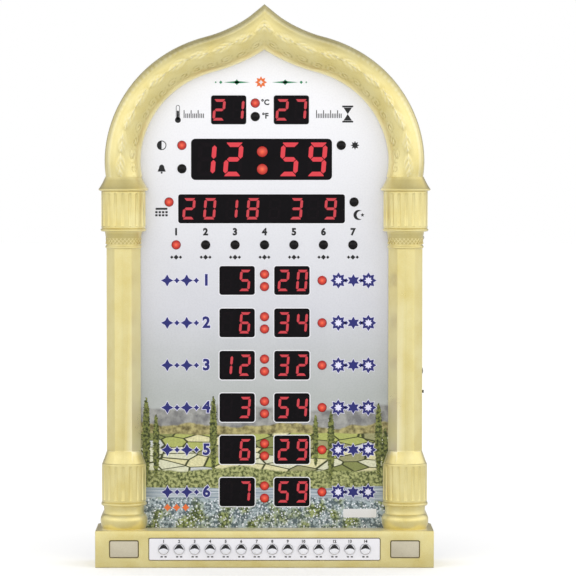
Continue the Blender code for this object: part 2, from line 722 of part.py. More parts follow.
def screw_places():
    """(name, x, z, radius of the moulding there) of each back cover screw."""
    low = PLINTH_HEIGHT + PEDESTAL_HEIGHT * LOWER_SCREW_SHARE
    high = CAPITAL_BASE_Z - UPPER_SCREW_DROP
    drum = SHAFT_RADIUS + DRUM_PROJECTION
    return [
        ("screw_lower_left", -COLUMN_X, low, drum),
        ("screw_lower_right", COLUMN_X, low, drum),
        ("screw_upper_left", -COLUMN_X, high, SHAFT_RADIUS),
        ("screw_upper_right", COLUMN_X, high, SHAFT_RADIUS),
        ("screw_top", 0, APEX_CENTRE_Z, ARCH_RADIUS),
    ]


def make_plinth():
    """The hollow plinth, open at the back and behind the face."""
    bm = bmesh.new()
    half = PLINTH_HALF_WIDTH
    add_box(bm, (-half, PLINTH_FRONT_Y, 0), (half, CASE_RIM_Y, PLINTH_HEIGHT))
    edges = [
        edge
        for edge in bm.edges
        if all(vert.co.y < 0 for vert in edge.verts)
        or (any(vert.co.y < 0 for vert in edge.verts) and all(vert.co.z > KEY_Z for vert in edge.verts))
    ]
    bmesh.ops.bevel(bm, geom=edges, offset=PLINTH_EDGE_RADIUS, segments=1, affect="EDGES")
    plinth = helper_from(bm, "plinth_form")
    hollow = bmesh.new()
    add_box(
        hollow,
        (-half + WALL, PLINTH_FRONT_Y + WALL, WALL),
        (half - WALL, CASE_RIM_Y + CUT_OVERRUN, PLINTH_HEIGHT - WALL),
    )
    combine(plinth, helper_from(hollow, "plinth_hollow"), "DIFFERENCE")
    well = bmesh.new()
    add_box(
        well,
        (-SIDE_WALL_INNER_X, LIP_Y, PLINTH_HEIGHT - WALL - SINK),
        (SIDE_WALL_INNER_X, CASE_RIM_Y + CUT_OVERRUN, PLINTH_HEIGHT + CUT_OVERRUN),
    )
    combine(plinth, helper_from(well, "plinth_well"), "DIFFERENCE")
    return plinth


def make_front_case():
    case = object_from(moulding_mesh(), "front_case", "champagne_gold")
    combine(case, make_plinth(), "UNION")

    # Screw bosses, from the front wall back to the cover's pads
    bosses = bmesh.new()
    boss_back_y = COVER_INNER_Y - PAD_HEIGHT - GAP
    for name, x, z, radius in screw_places():
        boss_front_y = MOULDING_Y - MOULDING_DEPTH_SHARE * (radius - WALL / 2)
        add_prism(bosses, circle(x, z, BOSS_RADIUS), boss_front_y, boss_back_y)
    combine(case, helper_from(bosses, "boss_forms"), "UNION")
    pilots = bmesh.new()
    pilot_front_y = REAR_Y - SCREW_HEAD_SINK - SCREW_HEAD_HEIGHT - SCREW_LENGTH - CUT_OVERRUN
    pilot_radius = SCREW_SHANK_RADIUS + SCREW_HOLE_CLEARANCE
    for name, x, z, radius in screw_places():
        add_prism(pilots, circle(x, z, pilot_radius), pilot_front_y, boss_back_y + CUT_OVERRUN)
    combine(case, helper_from(pilots, "pilot_cutters"), "DIFFERENCE")

    # Shallow recesses of the label and the two side windows
    recesses = bmesh.new()
    label_floor_y = PLINTH_FRONT_Y + LABEL_RECESS
    half_width, half_height = LABEL_HALF_WIDTH, LABEL_HEIGHT / 2
    front_y = PLINTH_FRONT_Y - CUT_OVERRUN
    add_box(
        recesses,
        (-half_width, front_y, KEY_Z - half_height),
        (half_width, label_floor_y, KEY_Z + half_height),
    )
    window_half, window_rise = SIDE_WINDOW_WIDTH / 2, SIDE_WINDOW_HEIGHT / 2
    window_floor_y = PLINTH_FRONT_Y + SIDE_WINDOW_RECESS
    for side in (-1, 1):
        x = side * SIDE_WINDOW_X
        add_box(
            recesses,
            (x - window_half, front_y, KEY_Z - window_rise),
            (x + window_half, window_floor_y, KEY_Z + window_rise),
        )
    combine(case, helper_from(recesses, "recess_cutters"), "DIFFERENCE")

    # Holes behind them, for the keys and for the light that passes the side windows
    holes = bmesh.new()
    hole_back_y = PLINTH_FRONT_Y + WALL + CUT_OVERRUN / 2
    for name, x in key_places():
        add_prism(holes, circle(x, KEY_Z, KEY_RADIUS + KEY_HOLE_CLEARANCE), front_y, hole_back_y)
    across, up = window_half - SIDE_WINDOW_LEDGE, window_rise - SIDE_WINDOW_LEDGE
    for side in (-1, 1):
        x = side * SIDE_WINDOW_X
        add_box(holes, (x - across, front_y, KEY_Z - up), (x + across, hole_back_y, KEY_Z + up))
    combine(case, helper_from(holes, "key_hole_cutters"), "DIFFERENCE")

    # Openings of the right-hand wall
    side_cuts = bmesh.new()
    inside_x, outside_x = SIDE_WALL_INNER_X - CUT_OVERRUN / 2, SIDE_WALL_OUTER_X + CUT_OVERRUN
    wheel_low_y, wheel_high_y = wheel_depths()
    wheel_half = WHEEL_RADIUS + GAP
    add_box(
        side_cuts,
        (inside_x, wheel_low_y - GAP, WHEEL_Z - wheel_half),
        (outside_x, wheel_high_y + GAP, WHEEL_Z + wheel_half),
    )
    slider_y = slider_depth()
    add_box(
        side_cuts,
        (inside_x, slider_y - SLIDER_THICKNESS / 2 - GAP, SWITCH_Z - slider_slot_half() - GAP),
        (outside_x, slider_y + SLIDER_THICKNESS / 2 + GAP, SWITCH_Z + slider_slot_half() + GAP),
    )
    combine(case, helper_from(side_cuts, "side_cutters"), "DIFFERENCE")
    probe_hole = bmesh.new()
    reach = WALL + CUT_OVERRUN
    add_prism(probe_hole, circle(0, 0, PROBE_RADIUS + GAP), -reach, reach)
    lay_along_x(probe_hole, (SIDE_WALL_OUTER_X, CONTROL_BACK_Y, PROBE_Z))
    combine(case, helper_from(probe_hole, "probe_cutter"), "DIFFERENCE")


def lay_along_x(bm, place):
    """Turns shapes made along Y so that they lie along X, then moves them to their place."""
    bmesh.ops.rotate(bm, cent=(0, 0, 0), matrix=Matrix.Rotation(-math.pi / 2, 3, "Z"), verts=bm.verts)
    bmesh.ops.translate(bm, vec=place, verts=bm.verts)


def wheel_depths():
    low = CONTROL_BACK_Y + GAP
    return low, low + WHEEL_THICKNESS


def slider_depth():
    return CONTROL_FRONT_Y + SLIDE_SWITCH_DEPTH / 2


def slider_slot_half():
    """Half the height of the slider's slot, which holds the slider and its travel."""
    return (SLIDER_HEIGHT + SLIDER_TRAVEL) / 2


def make_back_cover():
    bm = bmesh.new()
    add_prism(bm, outer_outline(COVER_INSET), COVER_INNER_Y, REAR_Y)
    cover = object_from(bm, "back_cover", "charcoal_plastic")

    # Pads under the screws, posts behind the display board, and the speaker's ring wall
    forms = bmesh.new()
    into_cover_y = COVER_INNER_Y + SINK
    for name, x, z, radius in screw_places():
        add_prism(forms, circle(x, z, PAD_RADIUS), COVER_INNER_Y - PAD_HEIGHT, into_cover_y)
    for x in (-POST_X, POST_X):
        for z in (LOWER_POST_Z, UPPER_POST_Z):
            add_prism(forms, circle(x, z, POST_RADIUS), BOARD_BACK_Y + GAP, into_cover_y)
    combine(cover, helper_from(forms, "cover_forms"), "UNION")
    ring = bmesh.new()
    inner = SPEAKER_RADIUS + GAP
    outer = inner + SPEAKER_HOLDER_WALL
    ring_front_y = COVER_INNER_Y - SPEAKER_HOLDER_HEIGHT
    add_prism(ring, circle(0, SPEAKER_Z, outer, SMOOTH_STEPS), ring_front_y, into_cover_y)
    ring_form = helper_from(ring, "speaker_ring_form")
    bore = bmesh.new()
    add_prism(bore, circle(0, SPEAKER_Z, inner, SMOOTH_STEPS), ring_front_y - CUT_OVERRUN, COVER_INNER_Y)
    combine(ring_form, helper_from(bore, "speaker_ring_bore"), "DIFFERENCE")
    combine(cover, ring_form, "UNION")

    # Screw holes with sunk heads
    holes = bmesh.new()
    head_floor_y = REAR_Y - SCREW_HEAD_SINK - SCREW_HEAD_HEIGHT - GAP
    for name, x, z, radius in screw_places():
        shank = SCREW_SHANK_RADIUS + SCREW_HOLE_CLEARANCE
        head = SCREW_HEAD_RADIUS + SCREW_HOLE_CLEARANCE
        profile = [
            (0, COVER_INNER_Y - PAD_HEIGHT - CUT_OVERRUN / 2),
            (shank, COVER_INNER_Y - PAD_HEIGHT - CUT_OVERRUN / 2),
            (shank, head_floor_y),
            (head, head_floor_y),
            (head, REAR_Y + CUT_OVERRUN),
            (0, REAR_Y + CUT_OVERRUN),
        ]
        add_turned(holes, profile, x, z, ROUND_STEPS)

    # Speaker grille, power inlet and the two keyholes for wall screws
    plate_front_y, plate_back_y = COVER_INNER_Y - CUT_OVERRUN / 2, REAR_Y + CUT_OVERRUN
    add_prism(holes, circle(0, SPEAKER_Z, GRILLE_HOLE_RADIUS, HOLE_STEPS), plate_front_y, plate_back_y)
    for number, count in enumerate(GRILLE_RING_COUNTS, 1):
        for x, z in circle(0, SPEAKER_Z, GRILLE_RING_PITCH * number, count):
            add_prism(holes, circle(x, z, GRILLE_HOLE_RADIUS, HOLE_STEPS), plate_front_y, plate_back_y)
    add_prism(holes, circle(INLET_X, INLET_Z, INLET_RADIUS + GAP), plate_front_y, plate_back_y)
    for side in (-1, 1):
        add_prism(holes, keyhole_outline(side * HANGER_X), plate_front_y, plate_back_y)
    combine(cover, helper_from(holes, "cover_cutters"), "DIFFERENCE")
    return cover


def keyhole_outline(x):
    """A round hole for a wall screw's head, with a narrower slot above it for its neck."""
    head, neck = HANGER_HEAD_RADIUS, HANGER_SLOT_RADIUS
    opening = math.asin(neck / head)
    points = []
    for step in range(ROUND_STEPS + 1):
        angle = math.pi / 2 + opening + (math.tau - 2 * opening) * step / ROUND_STEPS
        points.append((x + head * math.cos(angle), HANGER_Z + head * math.sin(angle)))
    top = HANGER_Z + HANGER_SLOT_LENGTH
    for step in range(ROUND_STEPS // 2 + 1):
        angle = math.pi * step / (ROUND_STEPS // 2)
        points.append((x + neck * math.cos(angle), top + neck * math.sin(angle)))
    return points


def make_face_panel():
    bm = bmesh.new()
    add_prism(bm, face_outline(), PANEL_FRONT_Y, PANEL_BACK_Y)
    panel = object_from(bm, "face_panel", "printed_silver")
    cutters = bmesh.new()
    front_y, back_y = PANEL_FRONT_Y - CUT_OVERRUN, PANEL_BACK_Y + CUT_OVERRUN
    for name, x, z, width, height in display_windows():
        add_prism(cutters, rounded_rectangle(x, z, width, height, WINDOW_CORNER_RADIUS), front_y, back_y)
    for name, places, runs in light_groups():
        for x, z in places:
            radius = LED_RADIUS + ROUND_WINDOW_CLEARANCE
            add_prism(cutters, circle(x, z, radius, SMALL_ROUND_STEPS), front_y, back_y)
    combine(panel, helper_from(cutters, "window_cutters"), "DIFFERENCE")


def make_displays():
    for name, x, z, width, height in display_windows():
        bm = bmesh.new()
        radius = WINDOW_CORNER_RADIUS - GAP
        outline = rounded_rectangle(x, z, width - 2 * GAP, height - 2 * GAP, radius)
        add_prism(bm, outline, MODULE_FRONT_Y, MODULE_BACK_Y)
        object_from(bm, name, "display_black", origin=(x, MODULE_FRONT_Y, z))


def make_lights():
    strip_front_y = PANEL_BACK_Y + GAP
    half = LED_RADIUS - LED_STRIP_MARGIN
    for name, places, runs in light_groups():
        forms = bmesh.new()
        for x, z in places:
            front_y = PANEL_FRONT_Y - LED_PROTRUSION
            profile = dome_profile(LED_RADIUS, LED_CROWN, front_y)
            profile += [(LED_RADIUS, MODULE_BACK_Y - SINK), (0, MODULE_BACK_Y - SINK)]
            add_turned(forms, profile, x, z, SMALL_ROUND_STEPS)
        lenses = helper_from(forms, name + "_lenses")
        for number, (start, end) in enumerate(runs):
            strip = bmesh.new()
            low = (min(start[0], end[0]) - half, strip_front_y, min(start[1], end[1]) - half)
            high = (max(start[0], end[0]) + half, MODULE_BACK_Y, max(start[1], end[1]) + half)
            add_box(strip, low, high)
            if number == 0:
                group = object_from(strip, name, "led_red")
            else:
                combine(group, helper_from(strip, f"{name}_run_{number}"), "UNION")
        combine(group, lenses, "UNION")


def make_boards():
    # Display board: a wide part, a narrower top, and a tab for the side controls
    bm = bmesh.new()
    bottom = LOWEST_ROW_Z - ROW_WINDOW_HEIGHT / 2 - BOARD_MARGIN
    shoulder = TIME_Z + TIME_WINDOW_HEIGHT / 2 + BOARD_MARGIN
    top = SMALL_DISPLAY_Z + SMALL_WINDOW_HEIGHT / 2 + BOARD_MARGIN
    tab_low, tab_high = control_tab()
    tab_x = SIDE_WALL_INNER_X - GAP
    wide, narrow = BOARD_HALF_WIDTH, BOARD_TOP_HALF_WIDTH
    outline = [
        (-wide, bottom),
        (wide, bottom),
        (wide, tab_low),
        (tab_x, tab_low),
        (tab_x, tab_high),
        (wide, tab_high),
        (wide, shoulder),
        (narrow, shoulder),
        (narrow, top),
        (-narrow, top),
        (-narrow, shoulder),
        (-wide, shoulder),
    ]
    add_prism(bm, outline, BOARD_FRONT_Y, BOARD_BACK_Y)
    object_from(bm, "display_board", "board_green")

    # Key board, between the plinth's floor and its deck, with one switch behind each key
    bm = bmesh.new()
    half = PLINTH_HALF_WIDTH - WALL - KEY_BOARD_END_MARGIN
    low_z, high_z = WALL + GAP, PLINTH_HEIGHT - WALL - GAP
    add_box(bm, (-half, key_board_y(), low_z), (half, key_board_y() + KEY_BOARD_THICKNESS, high_z))
    board = object_from(bm, "key_board", "board_green")
    switches = bmesh.new()
    bores = bmesh.new()
    half_side = SWITCH_SIDE / 2
    bore_end_y = key_stem_end_y() + KEY_TRAVEL + GAP
    for name, x in key_places():
        low = (x - half_side, switch_front_y(), KEY_Z - half_side)
        high = (x + half_side, key_board_y() + SINK, KEY_Z + half_side)
        add_box(switches, low, high)
        bore = circle(x, KEY_Z, KEY_STEM_RADIUS + GAP, SMALL_ROUND_STEPS)
        add_prism(bores, bore, switch_front_y() - CUT_OVERRUN, bore_end_y)
    combine(board, helper_from(switches, "switch_forms"), "UNION")
    combine(board, helper_from(bores, "switch_bores"), "DIFFERENCE")


def control_tab():
    """Lowest and highest point of the display board's tab for the side controls."""
    low = SWITCH_Z - SLIDE_SWITCH_HALF_HEIGHT - CONTROL_TAB_MARGIN
    high = WHEEL_Z + WHEEL_RADIUS + CONTROL_TAB_MARGIN
    return low, high


def flange_back_y():
    return PLINTH_FRONT_Y + WALL + GAP + KEY_FLANGE_THICKNESS


def switch_front_y():
    return flange_back_y() + KEY_TRAVEL + KEY_STOP_CLEARANCE


def key_board_y():
    return switch_front_y() + SWITCH_DEPTH


def key_stem_end_y():
    return switch_front_y() + KEY_STEM_IN_SWITCH


def make_keys():
    front_y = PLINTH_FRONT_Y - KEY_PROTRUSION
    flange_front_y = flange_back_y() - KEY_FLANGE_THICKNESS
    for name, x in key_places():
        bm = bmesh.new()
        flange = KEY_RADIUS + KEY_FLANGE_WIDTH
        profile = dome_profile(KEY_RADIUS, KEY_CROWN, front_y)
        profile += [
            (KEY_RADIUS, flange_front_y),
            (flange, flange_front_y),
            (flange, flange_back_y()),
            (KEY_STEM_RADIUS, flange_back_y()),
            (KEY_STEM_RADIUS, key_stem_end_y()),
            (0, key_stem_end_y()),
        ]
        add_turned(bm, profile, x, KEY_Z, ROUND_STEPS)
        object_from(bm, name, "key_white", origin=(x, front_y, KEY_Z))


def make_plinth_front():
    # Key label
    bm = bmesh.new()
    half_width, half_height = LABEL_HALF_WIDTH - GAP, LABEL_HEIGHT / 2 - GAP
    back_y = PLINTH_FRONT_Y + LABEL_RECESS - GAP
    front_y = back_y - LABEL_THICKNESS
    add_box(bm, (-half_width, front_y, KEY_Z - half_height), (half_width, back_y, KEY_Z + half_height))
    label = object_from(bm, "key_label", "label_white")
    holes = bmesh.new()
    for name, x in key_places():
        outline = circle(x, KEY_Z, KEY_RADIUS + KEY_HOLE_CLEARANCE)
        add_prism(holes, outline, front_y - CUT_OVERRUN, back_y + CUT_OVERRUN)
    combine(label, helper_from(holes, "label_holes"), "DIFFERENCE")

    # Side windows: the right one covers the infrared receiver
    across, up = SIDE_WINDOW_WIDTH / 2 - GAP, SIDE_WINDOW_HEIGHT / 2 - GAP
    back_y = PLINTH_FRONT_Y + SIDE_WINDOW_RECESS - GAP
    front_y = back_y - SIDE_WINDOW_THICKNESS
    for name, x in (("left_window", -SIDE_WINDOW_X), ("right_window", SIDE_WINDOW_X)):
        bm = bmesh.new()
        add_box(bm, (x - across, front_y, KEY_Z - up), (x + across, back_y, KEY_Z + up))
        object_from(bm, name, "window_grey")

    # Receiver: a block with a round lens, in front of the key board
    bm = bmesh.new()
    back_y = key_board_y() - GAP
    front_y = back_y - RECEIVER_DEPTH
    across, up = RECEIVER_WIDTH / 2, RECEIVER_HEIGHT / 2
    add_box(bm, (SIDE_WINDOW_X - across, front_y, KEY_Z - up), (SIDE_WINDOW_X + across, back_y, KEY_Z + up))
    receiver = object_from(bm, "infrared_receiver", "control_black")
    lens = bmesh.new()
    profile = dome_profile(RECEIVER_LENS_RADIUS, RECEIVER_LENS_DEPTH, front_y - RECEIVER_LENS_DEPTH)
    profile += [(RECEIVER_LENS_RADIUS, front_y + SINK), (0, front_y + SINK)]
    add_turned(lens, profile, SIDE_WINDOW_X, KEY_Z, ROUND_STEPS)
    combine(receiver, helper_from(lens, "receiver_lens_form"), "UNION")


def make_screws():
    head_back_y = REAR_Y - SCREW_HEAD_SINK
    head_front_y = head_back_y - SCREW_HEAD_HEIGHT
    for name, x, z, radius in screw_places():
        bm = bmesh.new()
        profile = [
            (0, head_front_y - SCREW_LENGTH),
            (SCREW_SHANK_RADIUS, head_front_y - SCREW_LENGTH + SCREW_SHANK_RADIUS),
            (SCREW_SHANK_RADIUS, head_front_y),
            (SCREW_HEAD_RADIUS, head_front_y),
            (SCREW_HEAD_RADIUS, head_back_y - SCREW_HEAD_HEIGHT * SCREW_CROWN_SHARE),
            (SCREW_HEAD_RADIUS * SCREW_TOP_SHARE, head_back_y),
            (0, head_back_y),
        ]
        add_turned(bm, profile, x, z, ROUND_STEPS)
        screw = object_from(bm, name, "steel", origin=(x, head_back_y, z))
        slot = bmesh.new()
        floor_y = head_back_y - SCREW_DRIVE_DEPTH
        across, thin = SCREW_HEAD_RADIUS * SCREW_TOP_SHARE, SCREW_DRIVE_WIDTH / 2
        cross = [
            (thin, thin), (across, thin), (across, -thin), (thin, -thin), (thin, -across), (-thin, -across),
            (-thin, -thin), (-across, -thin), (-across, thin), (-thin, thin), (-thin, across), (thin, across),
        ]
        outline = [(x + right, z + up) for right, up in cross]
        add_prism(slot, outline, floor_y, head_back_y + CUT_OVERRUN)
        combine(screw, helper_from(slot, name + "_drive"), "DIFFERENCE")


def make_speaker():
    # The frame's flange rests in the cover's ring wall, and its magnet points at the display board
    rim_y = COVER_INNER_Y - GAP
    flange_y = rim_y - SPEAKER_FLANGE_THICKNESS
    end_y = rim_y - SPEAKER_DEPTH
    magnet_y = end_y + SPEAKER_MAGNET_DEPTH
    throat = SPEAKER_MAGNET_RADIUS - SPEAKER_METAL
    mouth = SPEAKER_RADIUS - SPEAKER_FLANGE_WIDTH
    bm = bmesh.new()
    profile = [
        (0, end_y),
        (SPEAKER_MAGNET_RADIUS, end_y),
        (SPEAKER_MAGNET_RADIUS, magnet_y),
        (mouth + SPEAKER_METAL, flange_y - SPEAKER_METAL),
        (mouth + SPEAKER_METAL, flange_y),
        (SPEAKER_RADIUS, flange_y),
        (SPEAKER_RADIUS, rim_y),
        (mouth, rim_y),
        (mouth, flange_y - SPEAKER_METAL),
        (throat, magnet_y + SPEAKER_METAL),
        (0, magnet_y + SPEAKER_METAL),
    ]
    add_turned(bm, profile, 0, SPEAKER_Z, SMOOTH_STEPS)
    object_from(bm, "speaker_frame", "speaker_steel")

    # The paper cone, with its dust cap, sits just inside the frame
    bm = bmesh.new()
    edge = mouth - GAP
    front_y = rim_y - GAP
    neck_y = front_y - CONE_DEPTH
    profile = [
        (0, neck_y),
        (CONE_NECK_RADIUS, neck_y),
        (edge, front_y - CONE_THICKNESS),
        (edge, front_y),
        (CONE_NECK_RADIUS, neck_y + CONE_THICKNESS),
        (CONE_NECK_RADIUS / 2, neck_y + CONE_THICKNESS + DUST_CAP_RISE * DUST_CAP_SHOULDER_SHARE),
        (0, neck_y + CONE_THICKNESS + DUST_CAP_RISE),
    ]
    add_turned(bm, profile, 0, SPEAKER_Z, SMOOTH_STEPS)
    object_from(bm, "speaker_cone", "paper_black")


def make_side_controls():
    # Volume control: a block with the pin that the thumbwheel turns on
    wheel_x = SIDE_WALL_OUTER_X + WHEEL_PROTRUSION - WHEEL_RADIUS
    wheel_low_y, wheel_high_y = wheel_depths()
    bm = bmesh.new()
    low = (SIDE_WALL_INNER_X - GAP - CONTROL_BODY_WIDTH, CONTROL_FRONT_Y, WHEEL_Z - WHEEL_RADIUS)
    high = (SIDE_WALL_INNER_X - GAP, CONTROL_BACK_Y, WHEEL_Z + WHEEL_RADIUS)
    add_box(bm, low, high)
    control = object_from(bm, "volume_control", "control_black")
    pin = bmesh.new()
    pin_end_y = wheel_high_y + WHEEL_PIN_END
    add_prism(pin, circle(wheel_x, WHEEL_Z, WHEEL_PIN_RADIUS), CONTROL_BACK_Y - SINK, pin_end_y)
    combine(control, helper_from(pin, "volume_pin_form"), "UNION")

    # Thumbwheel with a knurled rim
    bm = bmesh.new()
    rim = []
    for knurl in range(WHEEL_KNURLS * 2):
        angle = math.tau * knurl / (WHEEL_KNURLS * 2)
        radius = WHEEL_RADIUS - (WHEEL_KNURL_DEPTH if knurl % 2 else 0)
        rim.append((wheel_x + radius * math.cos(angle), WHEEL_Z + radius * math.sin(angle)))
    add_prism(bm, rim, wheel_low_y, wheel_high_y)
    wheel = object_from(bm, "volume_wheel", "control_black", origin=(wheel_x, wheel_low_y, WHEEL_Z))
    bore = bmesh.new()
    bore_radius = WHEEL_PIN_RADIUS + WHEEL_BORE_CLEARANCE
    bore_outline = circle(wheel_x, WHEEL_Z, bore_radius)
    add_prism(bore, bore_outline, wheel_low_y - CUT_OVERRUN, wheel_high_y + CUT_OVERRUN)
    combine(wheel, helper_from(bore, "wheel_bore"), "DIFFERENCE")

    # Slide switch: its body has a groove for the slider's root
    bm = bmesh.new()
    low = (low[0], CONTROL_FRONT_Y, SWITCH_Z - SLIDE_SWITCH_HALF_HEIGHT)
    high = (high[0], CONTROL_FRONT_Y + SLIDE_SWITCH_DEPTH, SWITCH_Z + SLIDE_SWITCH_HALF_HEIGHT)
    add_box(bm, low, high)
    body = object_from(bm, "mode_switch_body", "steel")
    groove = bmesh.new()
    slider_y = slider_depth()
    half_thickness = SLIDER_THICKNESS / 2
    root_x = high[0] - SLIDER_ROOT
    add_box(
        groove,
        (root_x - GAP, slider_y - half_thickness - GAP, SWITCH_Z - slider_slot_half() - GAP),
        (high[0] + CUT_OVERRUN, slider_y + half_thickness + GAP, SWITCH_Z + slider_slot_half() + GAP),
    )
    combine(body, helper_from(groove, "switch_groove"), "DIFFERENCE")

    # Slider, at the lower end of its travel
    bm = bmesh.new()
    tip_x = SIDE_WALL_OUTER_X + SLIDER_PROTRUSION
    base_z = SWITCH_Z - slider_slot_half()
    add_box(
        bm,
        (root_x, slider_y - half_thickness, base_z),
        (tip_x, slider_y + half_thickness, base_z + SLIDER_HEIGHT),
    )
    object_from(bm, "mode_switch_slider", "control_black", origin=(tip_x, slider_y, base_z))


def make_temperature_probe():
    """A small round probe in a hole of the side wall, with a flange against the wall's inner face."""
    bm = bmesh.new()
    neck_radius = SHAFT_RADIUS + NECK_PROJECTION * PROBE_NECK_SHARE
    wall_outer_x = COLUMN_X + neck_radius
    flange_x = COLUMN_X + SHAFT_RADIUS - WALL - GAP
    tip_x = wall_outer_x + PROBE_PROTRUSION
    profile = [
        (0, flange_x - PROBE_FLANGE_THICKNESS - PROBE_TAIL),
        (PROBE_RADIUS, flange_x - PROBE_FLANGE_THICKNESS - PROBE_TAIL),
        (PROBE_RADIUS, flange_x - PROBE_FLANGE_THICKNESS),
        (PROBE_FLANGE_RADIUS, flange_x - PROBE_FLANGE_THICKNESS),
        (PROBE_FLANGE_RADIUS, flange_x),
        (PROBE_RADIUS, flange_x),
        (PROBE_RADIUS, tip_x - PROBE_ROUNDING),
        (PROBE_RADIUS - PROBE_ROUNDING, tip_x),
        (0, tip_x),
    ]
    add_turned(bm, profile, 0, 0, ROUND_STEPS)
    lay_along_x(bm, (0, CONTROL_BACK_Y, PROBE_Z))
    object_from(bm, "temperature_probe", "control_black")


def make_power_inlet():
    """A round socket in the back cover, with its flange inside and its contact pin."""
    mouth_y = REAR_Y - GAP
    end_y = mouth_y - INLET_DEPTH
    flange_back_y = COVER_INNER_Y - GAP
    bore_end_y = end_y + INLET_FLOOR
    pin_tip_y = mouth_y - INLET_PIN_RADIUS
    bm = bmesh.new()
    profile = [
        (0, end_y),
        (INLET_RADIUS, end_y),
        (INLET_RADIUS, flange_back_y - INLET_FLANGE_THICKNESS),
        (INLET_FLANGE_RADIUS, flange_back_y - INLET_FLANGE_THICKNESS),
        (INLET_FLANGE_RADIUS, flange_back_y),
        (INLET_RADIUS, flange_back_y),
        (INLET_RADIUS, mouth_y),
        (INLET_BORE_RADIUS, mouth_y),
        (INLET_BORE_RADIUS, bore_end_y),
        (INLET_PIN_RADIUS, bore_end_y),
        (INLET_PIN_RADIUS, pin_tip_y),
        (0, pin_tip_y),
    ]
    add_turned(bm, profile, INLET_X, INLET_Z, ROUND_STEPS)
    object_from(bm, "power_inlet", "control_black")


def make_backup_cell():
    """A round cell in a shallow cup on the back of the display board."""
    floor_y = CONTROL_FRONT_Y
    inner = CELL_RADIUS + GAP
    outer = inner + CELL_HOLDER_WALL
    rim_y = floor_y + CELL_HOLDER_FLOOR + GAP + CELL_THICKNESS
    bm = bmesh.new()
    profile = [
        (0, floor_y),
        (outer, floor_y),
        (outer, rim_y),
        (inner, rim_y),
        (inner, floor_y + CELL_HOLDER_FLOOR),
        (0, floor_y + CELL_HOLDER_FLOOR),
    ]
    add_turned(bm, profile, CELL_X, CELL_Z, SMOOTH_STEPS)
    object_from(bm, "cell_holder", "control_black")
    bm = bmesh.new()
    cell_front_y = floor_y + CELL_HOLDER_FLOOR + GAP
    outline = circle(CELL_X, CELL_Z, CELL_RADIUS, SMOOTH_STEPS)
    add_prism(bm, outline, cell_front_y, cell_front_y + CELL_THICKNESS)
    object_from(bm, "backup_cell", "steel")


def main():
    clear_scene()
    make_finishes()
    make_front_case()
    make_back_cover()
    make_face_panel()
    make_displays()
    make_lights()
    make_boards()
    make_keys()
    make_plinth_front()
    make_screws()
    make_speaker()
    make_side_controls()
    make_temperature_probe()
    make_power_inlet()
    make_backup_cell()


main()
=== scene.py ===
"""Looks of an arched prayer-time clock with LED displays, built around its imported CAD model.

Metres, +Z up. The face looks along -Y. The file is laid out as a Blender add-on and runs as a script.
"""

import contextlib
import math

import bmesh
import bpy
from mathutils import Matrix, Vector


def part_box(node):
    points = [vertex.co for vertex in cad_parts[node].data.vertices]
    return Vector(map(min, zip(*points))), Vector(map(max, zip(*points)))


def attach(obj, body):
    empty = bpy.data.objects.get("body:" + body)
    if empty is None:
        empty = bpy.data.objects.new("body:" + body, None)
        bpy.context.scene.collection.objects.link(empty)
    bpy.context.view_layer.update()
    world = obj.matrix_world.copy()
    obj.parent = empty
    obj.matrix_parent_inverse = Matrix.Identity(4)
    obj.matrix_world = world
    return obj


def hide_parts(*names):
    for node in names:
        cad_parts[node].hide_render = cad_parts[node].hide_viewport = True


bl_info = {
    "name": "Arched LED Clock",
    "version": (1, 0, 0),
    "blender": (4, 5, 0),
    "location": "View3D > Sidebar > Clock",
    "description": "Builds the finished look of an arched clock with LED displays around its CAD frame",
    "category": "Add Mesh",
}

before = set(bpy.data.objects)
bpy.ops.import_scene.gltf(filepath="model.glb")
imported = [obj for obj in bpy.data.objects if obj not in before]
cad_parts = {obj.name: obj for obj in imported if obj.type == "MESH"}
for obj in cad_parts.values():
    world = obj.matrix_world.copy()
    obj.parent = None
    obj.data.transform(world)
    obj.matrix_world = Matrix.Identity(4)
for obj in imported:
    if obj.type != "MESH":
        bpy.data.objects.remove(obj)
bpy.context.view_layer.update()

# Drawing
SEED = 0.0001
CUT_MARGIN = 0.003
MERGE_DISTANCE = 0.00001
FIT = 0.0003
SMOOTH_ANGLE = math.radians(32)


def node_middle(node):
    """The middle of a CAD node's box."""
    low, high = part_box(node)
    return (low + high) / 2


# Depths, from the CAD model
FRONT_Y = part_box("front_case")[0].y
RIM_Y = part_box("front_case")[1].y
REAR_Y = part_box("back_cover")[1].y
COVER_INNER_Y = RIM_Y + FIT
PANEL_FRONT_Y, PANEL_BACK_Y = (corner.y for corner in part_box("face_panel"))
MODULE_FRONT_Y, MODULE_BACK_Y = (corner.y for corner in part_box("display_time"))
LIP_Y = PANEL_FRONT_Y - FIT
MOULDING_Y = LIP_Y - 0.0015

# Moulding: half round columns and arch, a little flattened
WALL = 0.0024
FLATTENING = 0.92
COLUMN_X = node_middle("screw_upper_right").x
SHAFT_RADIUS = 0.0121
CORE_RADIUS = SHAFT_RADIUS - WALL
ARCH_RADIUS = 0.0128
DRUM_RADIUS = 0.0157
WAIST_RADIUS = 0.0145
RING_RADIUS = 0.0163
FLARE_RADIUS = 0.0177
HALF_TURN_STEPS = 48
RIDGE_ANGLES = (60, 90, 120)

# Heights of the pedestal and the capital
PLINTH_TOP = 0.0265
FOOT_SINK = 0.0004
TORUS_TOP = 0.0375
PEDESTAL_RING = (0.0427, 0.0457)
PEDESTAL_DRUM = (0.0457, 0.0729)
PEDESTAL_TOP = 0.0821
CAPITAL_BASE = 0.2264
BEAD_TOP = 0.229
NECK_TOP = 0.2386
CAPITAL_DRUM = (0.241, 0.2674)
CAPITAL_LIP = 0.2692
SPRING_Z = 0.2776

